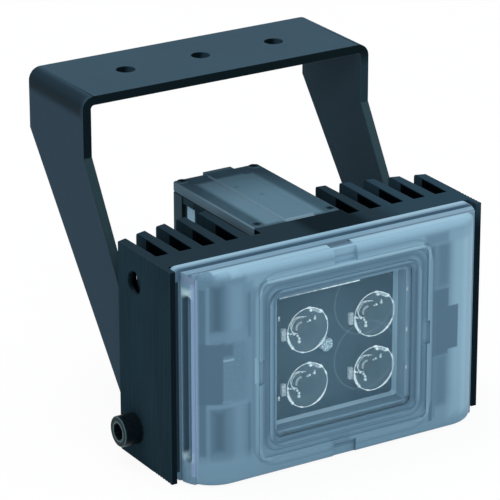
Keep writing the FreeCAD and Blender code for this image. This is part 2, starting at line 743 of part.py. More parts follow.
def makeLid():
    body = newBody("box_lid")
    pad(body, "plan", [rectangle("-padHalf", padRear, "padHalf", boxRear, "boxRound")], lidBottom, "headHeight")
    dress(body, "Fillet", "lidEdge", lambda edge: all(near(end.z, number(body, "headHeight"))
                                                     for end in ends(edge)))
    strip = rectangle("-lidStripLeft", padRear + " + lidEdge", "lidStripRight", boxRear + " + lidLip", "lidEdge")
    pad(body, "plan", [strip], "headHeight - lidThick * 0.7", "headHeight + lidStripProud")
    screws = [(side + lidScrewAside, back, "lidScrewHead / 2 + clearanceHole")
              for side in ("", "-") for back in lidScrewBacks]
    cut(body, "plan", screws, "headHeight - lidScrewHeadTall * 0.8", "headHeight + toolRun")
    shanks = [screw[:2] + ("lidScrewThread / 2 + clearanceHole",) for screw in screws]
    cut(body, "plan", shanks, lidBottom, "headHeight")
    return seat(body)


def makeLidGasket():
    body = newBody("lid_gasket")
    ring = []
    for inset, radius in (("lidGasketIn", "boxRound * 0.7"), ("(lidGasketIn + lidGasketWide)", "boxRound * 0.4")):
        ring.append(rectangle(inset + " - padHalf", padRear + " + " + inset, "padHalf - " + inset,
                              boxRear + " - " + inset, radius))
    pad(body, "plan", ring, boxTop, lidBottom)
    return seat(body)


def makeBoxScrews():
    screws = []
    for level, back in (("front", lidScrewBacks[0]), ("rear", lidScrewBacks[1])):
        for side, across in (("left", "-" + lidScrewAside), ("right", lidScrewAside)):
            screw = makeScrew("lid_screw_%s_%s" % (level, side), "lidScrewHead", "lidScrewHeadTall",
                              "lidScrewThread", "lidScrewLong")
            screws.append(seat(screw, across, back, "headHeight - lidScrewHeadTall * 0.8"))
    for level, high in zip(("lower", "upper"), boxScrewHighs):
        screw = makeScrew("box_screw_" + level, "boxScrewHead", "boxScrewHeadTall", "boxScrewThread",
                          "boxScrewLong + boxWall - clearanceHole")
        screws.append(seat(screw, "0", padRear + " + boxWall", high, Rotation(Vector(1, 0, 0), -90)))
    return screws


def makeDriver():
    board = newBody("driver_board")
    holes = [(side + "postSide", up, "postRadius / 2 + clearanceHole") for side in ("", "-")
             for up in (driverLow + " + postInset", driverTop + " - postInset")]
    plate = rectangle("-" + driverHalf, driverLow, driverHalf, driverTop, "boxRound")
    pad(board, "front", [plate] + holes, driverRear, driverFront)
    block = newBody("terminal_block")
    low = "(" + driverLow + " + terminalUp)"
    pad(block, "front", [rectangle("-terminalHalf", low, "terminalHalf", low + " + terminalTall")],
        driverFront, driverFront + " - terminalDeep")
    mouths = [("(%d - 0.5) * terminalHalf" % index, low + " + terminalTall / 3", "wireMouth") for index in (0, 1)]
    cut(block, "front", mouths, driverFront + " - terminalDeep / 2", driverFront + " - terminalDeep")
    choke = newBody("choke")
    partsHigh = "(" + driverTop + " - partsDown)"
    pad(choke, "front", [("-partsAside", partsHigh, "chokeRadius")], driverFront, driverFront + " - chokeLong")
    capacitor = newBody("capacitor")
    pad(capacitor, "front", [("partsAside", partsHigh, "capacitorRadius")], driverFront,
        driverFront + " - capacitorLong")
    return [seat(board), seat(block), seat(choke), seat(capacitor)]


def makeLead(name, across):
    """A lead from the back of the LED board, through the heatsink, to the driver board."""
    body = newBody(name)
    landing = "(" + leadHigh + " - leadDrop)"
    section = newSketch(body, "front", "-(" + boardRear + ")")
    disc(section, across, leadHigh, "leadRadius")
    route = newSketch(body, "side", across)
    outline(route, [("-(" + boardRear + ")", leadHigh), (boxInnerRear + " * 0.55", leadHigh, "leadHole * 5"),
                    (boxInnerRear + " * 0.78", landing, "leadHole * 5"), (driverFront, landing)], closed=False)
    pipe = body.newObject("PartDesign::AdditivePipe", "Lead")
    pipe.Profile = section
    pipe.Spine = route
    return seat(body)


def makeGland():
    bodyPiece = newBody("gland_body")
    pad(bodyPiece, "plan", [hexagon("glandHex")], "-glandHexTall", "0")
    bore = ("0", "0", "cableBore / 2")
    pad(bodyPiece, "plan", [("0", "0", "glandThread / 2")], "-glandHexTall / 2", "glandAbove")
    pad(bodyPiece, "plan", [("0", "0", sleeve)], "-glandHexTall - glandBelow", "-glandHexTall / 2")
    cut(bodyPiece, "plan", [bore], "-glandHexTall - glandBelow", "glandAbove")
    nut = newBody("gland_nut")
    top = "(-glandHexTall - nutGap)"
    bottom = "(-glandHexTall - nutGap - nutTall)"
    outer = "(glandHex / 2)"
    pad(nut, "plan", [hexagon("glandHex")], bottom + " + nutTall / 2", top)
    spin(nut, [("cableBore / 2", bottom), (outer + " * 0.72", bottom), (outer, bottom + " + nutTall / 2"),
               (outer, bottom + " + nutTall * 0.6"), ("cableBore / 2", bottom + " + nutTall * 0.6")],
         {1: "nutTall"})
    cut(nut, "plan", [("0", "0", sleeve + " + threadFit")], "-glandHexTall - glandBelow - sealTall", top)
    cut(nut, "plan", [("0", "0", "cableBore / 2")], bottom, top)
    seal = newBody("gland_seal")
    pad(seal, "plan", [("0", "0", sleeve + " - threadFit"), ("0", "0", "cableBore / 2")],
        "-glandHexTall - glandBelow - sealTall", "-glandHexTall - glandBelow")
    locknut = newBody("gland_locknut")
    pad(locknut, "plan", [hexagon("locknutHex"), ("0", "0", "glandThread / 2 + threadFit")], "boxWall",
        "boxWall + locknutTall")
    return [seat(piece, "0", "glandBack", "boxLow") for piece in (bodyPiece, nut, seal, locknut)]


def footOf(pivot, knee, reach, side):
    """Where a line from the knee passes the pivot at a distance."""
    toward = knee - pivot
    turn = side * math.acos(reach / toward.Length)
    unit = toward.normalize()
    return pivot + Vector(unit.x * math.cos(turn) - unit.y * math.sin(turn),
                          unit.x * math.sin(turn) + unit.y * math.cos(turn), 0) * reach


def drawLeg(item):
    """Side view: a square top, two knees, slanted edges, a toe round the pivot and a rounded heel."""
    plateRear = "plateFront + plateDepth"
    pivot = Vector(number(item, "pivotBack"), number(item, "pivotHigh"), 0)
    knees = [Vector(number(item, back), number(item, "kneeHigh"), 0) for back in ("plateFront", plateRear)]
    tops = [Vector(knee.x, number(item, "plateTop"), 0) for knee in knees]
    ahead = number(item, "legAhead")
    toeStart = footOf(pivot, knees[0], ahead, 1)
    heelFoot = footOf(pivot, knees[1], number(item, "legBehind"), -1)
    along = (toeStart - knees[0]).normalize()
    toeEnd = pivot + along * ahead
    rearWay = (knees[1] - heelFoot).normalize()
    soleWay = (pivot - toeStart).normalize()
    reach = (heelFoot - toeEnd).cross(rearWay).z / soleWay.cross(rearWay).z
    heel = toeEnd + soleWay * reach
    half = (-soleWay).getAngle(rearWay) / 2
    round = number(item, "legHeelRound")
    heelStart = heel - soleWay * (round / math.tan(half))
    heelEnd = heel + rearWay * (round / math.tan(half))
    heelCentre = heel + (rearWay - soleWay).normalize() * (round / math.sin(half))
    front = item.addGeometry(Part.LineSegment(knees[0], toeStart))
    toe = item.addGeometry(arcBetween(pivot, toeStart, toeEnd))
    sole = item.addGeometry(Part.LineSegment(toeEnd, heelStart))
    back = item.addGeometry(arcBetween(heelCentre, heelStart, heelEnd))
    rear = item.addGeometry(Part.LineSegment(heelEnd, knees[1]))
    rise = item.addGeometry(Part.LineSegment(knees[1], tops[1]))
    over = item.addGeometry(Part.LineSegment(tops[1], tops[0]))
    drop = item.addGeometry(Part.LineSegment(tops[0], knees[0]))
    for first, second in ((drop, front), (rear, rise), (rise, over), (over, drop)):
        item.addConstraint(Sketcher.Constraint("Coincident", first, 2, second, 1))
    for first, second in ((front, toe), (toe, sole), (sole, back), (back, rear)):
        item.addConstraint(Sketcher.Constraint("Tangent", first, 2, second, 1))
    item.addConstraint(Sketcher.Constraint("Perpendicular", front, sole))
    fix(item, toe, 3, "pivotBack", "pivotHigh")
    fix(item, front, 1, "plateFront", "kneeHigh")
    fix(item, rise, 1, plateRear, "kneeHigh")
    fix(item, over, 1, plateRear, "plateTop")
    fix(item, drop, 1, "plateFront", "plateTop")
    measure(item, "Radius", "legAhead", toe)
    measure(item, "Radius", "legHeelRound", back)
    measure(item, "Distance", "legBehind", toe, 3, rear)


def makeBracket():
    body = newBody("u_bracket")
    item = newSketch(body, "side", "-" + legOuter)
    drawLeg(item)
    blank = body.newObject("PartDesign::Pad", "Pad")
    blank.Profile = item
    blank.setExpression("Length", bound("2 * " + legOuter))
    inside = [("-" + legInner, "-pivotHigh"), (legInner, "-pivotHigh"),
              (legInner, "plateTop - sheetThick", "bendInside"),
              ("-" + legInner, "plateTop - sheetThick", "bendInside")]
    cut(body, "front", [inside], "plateFront + plateDepth + 1", "-pivotBack")
    dress(body, "Fillet", "bendInside + sheetThick", lambda edge: len(ends(edge)) == 2
          and near(ends(edge)[0].x, ends(edge)[1].x) and near(abs(ends(edge)[0].x), number(body, legOuter))
          and all(near(end.z, number(body, "plateTop")) for end in ends(edge)))
    middle = "plateFront + plateDepth / 2"
    bolts = [(across, middle, "boltHole / 2") for across in ("-boltPitch", "0", "boltPitch")]
    cut(body, "plan", bolts, "plateTop - sheetThick", "plateTop")
    pivot = [("pivotBack", "pivotHigh", "pivotThread / 2 + threadFit")]
    cut(body, "side", pivot, "-" + legOuter, "-" + legInner)
    cut(body, "side", pivot, legInner, legOuter)
    return seat(body)


def makePivotScrew(name, across, turn):
    """A shoulder screw with a socket head: its shoulder stands on the outer face of the leg."""
    body = newBody(name)
    headLow = "(endWall + legPlay + pivotHeadGap)"
    headTop = "(endWall + legPlay + pivotHeadGap + pivotHeadLong)"
    shoulder = "(shoulderBore / 2 - shoulderPlay)"
    spin(body, [("0", "-pivotThreadLong"), ("pivotThread / 2", "-pivotThreadLong"), ("pivotThread / 2", "0"),
                (shoulder, "0"), (shoulder, headLow), ("pivotHead / 2", headLow),
                ("pivotHead / 2", headTop, "holeChamfer"), ("0", headTop)])
    cut(body, "plan", [hexagon("socketAcross")], headTop + " - socketDeep", headTop)
    return seat(body, across, "pivotBack", "pivotHigh", turn)


pieces = [makeHeatsink(), makeCoverBase(), makeGasket(), makeBezel()]
pieces += makePane()
pieces += makeLightEngine()
for side, across in (("left", "-lampHalf"), ("right", "lampHalf")):
    pieces += makeLamp("top_" + side, across, " + lampHalfHigh")
    pieces += makeLamp("bottom_" + side, across, " - lampHalfHigh")
pieces += makeCoverScrews()
pieces += [makeBox(), makeLid(), makeLidGasket()]
pieces += makeBoxScrews()
pieces += makeDriver()
pieces += [makeLead("lead_plus", "leadAside"), makeLead("lead_minus", "-leadAside")]
pieces += makeGland()
pieces.append(makeBracket())
pieces.append(makePivotScrew("pivot_screw_left", "-" + legOuter, Rotation(Vector(0, 1, 0), -90)))
pieces.append(makePivotScrew("pivot_screw_right", legOuter, Rotation(Vector(0, 1, 0), 90)))
document.recompute()

for item in document.Objects:
    if "Invalid" in item.State or "Error" in item.State:
        raise RuntimeError("%s is %s" % (item.Name, item.State))
    if item.TypeId == "Sketcher::SketchObject" and not item.FullyConstrained:
        raise RuntimeError(item.Name + " isn't fully constrained")
for piece in pieces:
    shape = piece.Shape
    if shape.isNull() or not shape.isValid() or len(shape.Solids) != 1:
        raise RuntimeError(piece.Label + " isn't one valid solid")
    shape.exportStep("parts/%s.step" % piece.Label)
print("%d pieces" % len(pieces))
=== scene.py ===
import bpy
import bmesh
import json
import math
from mathutils import Matrix, Vector


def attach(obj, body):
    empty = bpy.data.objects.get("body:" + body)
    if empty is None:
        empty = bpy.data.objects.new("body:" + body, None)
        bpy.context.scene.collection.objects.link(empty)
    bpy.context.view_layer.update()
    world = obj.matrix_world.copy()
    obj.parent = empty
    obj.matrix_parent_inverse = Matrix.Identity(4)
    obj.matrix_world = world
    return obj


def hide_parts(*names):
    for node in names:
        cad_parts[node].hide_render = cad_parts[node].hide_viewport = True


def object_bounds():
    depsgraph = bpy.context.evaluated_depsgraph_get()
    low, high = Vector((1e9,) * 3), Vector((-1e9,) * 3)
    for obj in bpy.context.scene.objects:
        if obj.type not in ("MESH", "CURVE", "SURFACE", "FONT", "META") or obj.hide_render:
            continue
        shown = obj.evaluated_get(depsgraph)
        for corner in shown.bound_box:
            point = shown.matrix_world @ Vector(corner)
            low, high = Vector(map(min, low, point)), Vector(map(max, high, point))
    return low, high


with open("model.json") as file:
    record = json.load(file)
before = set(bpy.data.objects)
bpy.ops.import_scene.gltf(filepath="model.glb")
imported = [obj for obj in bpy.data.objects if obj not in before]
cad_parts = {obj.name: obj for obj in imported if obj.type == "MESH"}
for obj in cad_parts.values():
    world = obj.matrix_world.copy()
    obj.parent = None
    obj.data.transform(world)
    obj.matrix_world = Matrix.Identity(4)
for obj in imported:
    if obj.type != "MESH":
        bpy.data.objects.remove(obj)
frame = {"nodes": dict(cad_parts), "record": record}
cadBox = [list(corner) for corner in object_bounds()]
lampNodes = frame["nodes"]
lampSlots = {part["node"]: part["material_slot"] for part in frame["record"]["subparts"]}
bracketNodes = ("u_bracket", "pivot_screw_left", "pivot_screw_right")
lampFloor = cadBox[0][2]  # the lamp stands on the floor
datum = Vector((0, 77.25, 107.4))  # mm, the bracket's middle hole in the lamp's own frame
perMetre = 1000  # mm
mergeGap = 1e-7  # metres: points nearer than this are one


def spot(across, back, up):  # a place in mm in the lamp's own frame, brought to the scene's
    return (Vector((across, back, up)) - datum) / perMetre


def bodyOf(node):
    return "bracket" if node in bracketNodes else "head"


# Camera, floor and lights
print("camera and studio")
cameraView = {
    "place": (-0.510598, -0.862823, 0.326193),  # metres
    "turn": -31.522,  # degrees round the lamp, from straight in front
    "rise": 21.44,  # degrees above level
    "roll": -0.097,
    "lens": 235.16,  # mm
    "sensor": 36,  # mm
    "near": 0.05,  # metres
}


def aimCamera(view):
    turn, rise, roll = (math.radians(view[key]) for key in ("turn", "rise", "roll"))
    back = Vector((math.sin(turn) * math.cos(rise), -math.cos(turn) * math.cos(rise), math.sin(rise)))
    side = Vector((0, 0, 1)).cross(back).normalized()
    up = back.cross(side)
    across = side * math.cos(roll) + up * math.sin(roll)
    above = up * math.cos(roll) - side * math.sin(roll)
    data = bpy.data.cameras.new("photoLens")
    data.lens = view["lens"]
    data.sensor_width = view["sensor"]
    data.clip_start = view["near"]
    camera = bpy.data.objects.new("photoCamera", data)
    bpy.context.scene.collection.objects.link(camera)
    axes = Matrix((across, above, back)).transposed().to_4x4()
    camera.matrix_world = Matrix.Translation(view["place"]) @ axes
    bpy.context.scene.camera = camera


aimCamera(cameraView)

studio = {
    "skyColor": (0.93, 0.97, 1.0, 1),
    "skyLevel": 0.5,
    "seenColor": (1, 1, 1, 1),  # the background
    "floorColor": (0.93, 0.93, 0.93, 1),
    "floorHalf": 3.0,  # metres
    "floorGap": 0.0001,  # metres below the lamp
    "floorGlow": 0.92,  # the share of the floor's white that shadows don't reach
    "lamps": {  # place, aim, size in metres, watts
        "topLamp": ((-0.1, 0.25, 1.25), (0, 0, -0.05), 0.9, 9.0),
        "keyLamp": ((-0.55, -0.95, 0.95), (0, -0.02, -0.05), 0.6, 5.0),
        "sideLamp": ((1.1, -0.6, 0.5), (0, -0.02, -0.05), 0.9, 3.0),
    },
}


def addNode(tree, kind, **values):
    node = tree.nodes.new("ShaderNode" + kind)
    for name, value in values.items():
        setattr(node, name, value)
    return node


def feed(tree, socket, value):
    if isinstance(value, bpy.types.NodeSocket):
        tree.links.new(value, socket)
    else:
        socket.default_value = value


def feedAll(tree, sockets, values):
    for socket, value in zip(sockets, values):
        feed(tree, socket, value)


def calc(tree, operation, *terms):
    node = addNode(tree, "Math", operation=operation)
    feedAll(tree, node.inputs, terms)
    return node.outputs[0]


def move(tree, operation, *terms):  # vector arithmetic
    node = addNode(tree, "VectorMath", operation=operation)
    feedAll(tree, node.inputs, terms)
    return node.outputs["Value" if operation in ("LENGTH", "DOT_PRODUCT") else "Vector"]


colorMix = {"share": 0, "first": 6, "second": 7, "result": 2}  # the sockets that mix colours


def mixed(tree, share, first, second):
    node = addNode(tree, "Mix", data_type="RGBA")
    sockets = [node.inputs[colorMix[part]] for part in ("share", "first", "second")]
    feedAll(tree, sockets, (share, first, second))
    return node.outputs[colorMix["result"]]


def ranged(tree, value, start, end, low, high, smooth=False):
    node = addNode(tree, "MapRange", interpolation_type="SMOOTHSTEP" if smooth else "LINEAR")
    feedAll(tree, node.inputs, (value, start, end, low, high))
    return node.outputs[0]


def seenWhite(tree):  # the rays that show the white background: the camera's, metal's and glass's
    path = addNode(tree, "LightPath")
    seen = calc(tree, "MAXIMUM", path.outputs["Is Camera Ray"], path.outputs["Is Glossy Ray"])
    return calc(tree, "MAXIMUM", seen, path.outputs["Is Transmission Ray"])


def setWorld(plan):
    world = bpy.data.worlds.new("studioWorld")
    bpy.context.scene.world = world
    world.use_nodes = True
    tree = world.node_tree
    tree.nodes.clear()
    sky = addNode(tree, "Background")
    sky.inputs["Color"].default_value = plan["skyColor"]
    sky.inputs["Strength"].default_value = plan["skyLevel"]
    seen = addNode(tree, "Background")
    seen.inputs["Color"].default_value = plan["seenColor"]
    pick = addNode(tree, "MixShader")
    feedAll(tree, pick.inputs, (seenWhite(tree), sky.outputs[0], seen.outputs[0]))
    feed(tree, addNode(tree, "OutputWorld").inputs["Surface"], pick.outputs[0])


def layFloor(plan, height):
    shape = bmesh.new()
    bmesh.ops.create_grid(shape, x_segments=1, y_segments=1, size=plan["floorHalf"])
    bmesh.ops.translate(shape, verts=shape.verts, vec=(0, 0, height))
    mesh = bpy.data.meshes.new("studioFloor")
    shape.to_mesh(mesh)
    shape.free()
    floor = bpy.data.objects.new("studioFloor", mesh)
    bpy.context.scene.collection.objects.link(floor)
    paint = bpy.data.materials.new("floorPaint")
    paint.use_nodes = True
    tree = paint.node_tree
    tree.nodes.clear()
    matt = addNode(tree, "BsdfDiffuse")
    matt.inputs["Color"].default_value = plan["floorColor"]
    glow = addNode(tree, "Emission")
    share = calc(tree, "MULTIPLY", seenWhite(tree), plan["floorGlow"])
    pick = addNode(tree, "MixShader")
    feedAll(tree, pick.inputs, (share, matt.outputs[0], glow.outputs[0]))
    feed(tree, addNode(tree, "OutputMaterial").inputs["Surface"], pick.outputs[0])
    mesh.materials.append(paint)


def hangLamp(name, place, aim, size, watts):
    data = bpy.data.lights.new(name, "AREA")
    data.shape = "DISK"
    data.size = size
    data.energy = watts
    lamp = bpy.data.objects.new(name, data)
    bpy.context.scene.collection.objects.link(lamp)
    lamp.location = place
    lamp.rotation_euler = (Vector(aim) - Vector(place)).to_track_quat("-Z", "Y").to_euler()


setWorld(studio)
layFloor(studio, lampFloor - studio["floorGap"])
for lampName, lampPlan in studio["lamps"].items():
    hangLamp(lampName, *lampPlan)
bpy.context.scene.view_settings.view_transform = "Standard"

# Effects that several materials share
print("shared effects")
effectPlan = {
    "grainRange": (0.3, 0.7),  # the part of the noise that is drawn out to 0 and 1
    "facingRange": (0.35, 0.9),  # cosines at which a face starts to count, and counts in full
    "edgeSamples": 4,
    "blotchDetail": 4,
}


def newGroup(name, inputs, output):
    tree = bpy.data.node_groups.new(name, "ShaderNodeTree")
    for label, kind, value in inputs:
        socket = tree.interface.new_socket(name=label, in_out="INPUT", socket_type="NodeSocket" + kind)
        socket.default_value = value
    tree.interface.new_socket(name=output, in_out="OUTPUT", socket_type="NodeSocketFloat")
    return tree, tree.nodes.new("NodeGroupInput").outputs, tree.nodes.new("NodeGroupOutput").inputs[0]


def objectPoint(tree):
    return addNode(tree, "TexCoord").outputs["Object"]


def makeGrain():  # noise that can be drawn out along the lamp's height
    tree, given, out = newGroup("drawnGrain", [
        ("Across", "Float", 900), ("Along", "Float", 900), ("Detail", "Float", 3)], "Value")
    scale = addNode(tree, "CombineXYZ")
    feedAll(tree, scale.inputs, (given["Across"], given["Across"], given["Along"]))
    noise = addNode(tree, "TexNoise")
    noise.inputs["Scale"].default_value = 1
    feed(tree, noise.inputs["Vector"], move(tree, "MULTIPLY", objectPoint(tree), scale.outputs[0]))
    feed(tree, noise.inputs["Detail"], given["Detail"])
    feed(tree, out, ranged(tree, noise.outputs[0], *effectPlan["grainRange"], 0, 1))
    return tree


def makeEdgeHighlight():  # finds edges and corners, where a finish gets its painted highlight
    tree, given, out = newGroup("edgeHighlightMask", [("Radius", "Float", 0.0005), ("Gain", "Float", 3)], "Mask")
    rounded = addNode(tree, "Bevel", samples=effectPlan["edgeSamples"])
    feed(tree, rounded.inputs["Radius"], given["Radius"])
    plain = addNode(tree, "NewGeometry").outputs["Normal"]
    lost = calc(tree, "SUBTRACT", 1, move(tree, "DOT_PRODUCT", rounded.outputs[0], plain))
    feed(tree, out, ranged(tree, calc(tree, "MULTIPLY", lost, given["Gain"]), 0, 1, 0, 1))
    return tree


def makeSoftBox():  # a box with soft sides
    tree, given, out = newGroup("softBox", [
        ("Centre", "Vector", (0, 0, 0)), ("Half", "Vector", (1, 1, 1)), ("Soft", "Float", 0.001)], "Mask")
    away = move(tree, "ABSOLUTE", move(tree, "SUBTRACT", objectPoint(tree), given["Centre"]))
    split = addNode(tree, "SeparateXYZ")
    feed(tree, split.inputs[0], move(tree, "SUBTRACT", away, given["Half"]))
    far = calc(tree, "MAXIMUM", calc(tree, "MAXIMUM", split.outputs[0], split.outputs[1]), split.outputs[2])
    soft = given["Soft"]
    feed(tree, out, ranged(tree, far, calc(tree, "MULTIPLY", soft, -1), soft, 1, 0, True))
    return tree


def makeRing():  # a soft circle drawn on a flat face
    tree, given, out = newGroup("drawnRing", [
        ("Centre", "Vector", (0, 0, 0)), ("Plane", "Vector", (1, 0, 1)),
        ("Radius", "Float", 0.01), ("Width", "Float", 0.0003)], "Mask")
    away = move(tree, "SUBTRACT", objectPoint(tree), given["Centre"])
    size = move(tree, "LENGTH", move(tree, "MULTIPLY", away, given["Plane"]))
    off = calc(tree, "ABSOLUTE", calc(tree, "SUBTRACT", size, given["Radius"]))
    feed(tree, out, ranged(tree, off, 0, given["Width"], 1, 0, True))
    return tree


def makeFacingShade():  # finds the faces that look one way, in the piece's own directions, for painted light and shade by the way a face turns
    tree, given, out = newGroup("facingShare", [("Direction", "Vector", (0, 0, 1))], "Mask")
    looks = addNode(tree, "TexCoord").outputs["Normal"]
    cosine = move(tree, "DOT_PRODUCT", looks, given["Direction"])
    feed(tree, out, ranged(tree, cosine, *effectPlan["facingRange"], 0, 1, True))
    return tree


def makeFrame():  # how far a point on the front is outside the window's opening, in millimetres
    tree, given, out = newGroup("windowDistance", [
        ("Centre", "Vector", (0, 0, 0)), ("Half", "Vector", (1, 1, 1)),
        ("Round", "Float", 0.001)], "Distance")
    away = move(tree, "ABSOLUTE", move(tree, "SUBTRACT", objectPoint(tree), given["Centre"]))
    room = move(tree, "SUBTRACT", away, given["Half"])
    outer = move(tree, "MULTIPLY", move(tree, "MAXIMUM", room, (0, 0, 0)), (1, 0, 1))
    far = calc(tree, "SUBTRACT", move(tree, "LENGTH", outer), given["Round"])
    feed(tree, out, calc(tree, "MULTIPLY", far, perMetre))
    return tree


effects = {"grain": makeGrain(), "edges": makeEdgeHighlight(), "box": makeSoftBox(), "ring": makeRing(),
           "facing": makeFacingShade(), "frame": makeFrame()}


def effect(tree, name, **values):
    node = addNode(tree, "Group", node_tree=effects[name])
    for label, value in values.items():
        node.inputs[label].default_value = value
    return node.outputs[0]


def boxMark(tree, across, back, up, soft):  # ranges in mm in the lamp's own frame
    low = spot(across[0], back[0], up[0])
    high = spot(across[1], back[1], up[1])
    return effect(tree, "box", Centre=(low + high) / 2, Half=(high - low) / 2, Soft=soft / perMetre)


# Materials: what each finish looks like, by the record's slots
print("materials")
anyBack = (-60, 120)
anyUp = (-60, 120)


def frost(level):  # the frosted plastic's blue at a brightness
    return level * (0.47 + 0.3 * level), level, level * (1.53 - 0.58 * level)


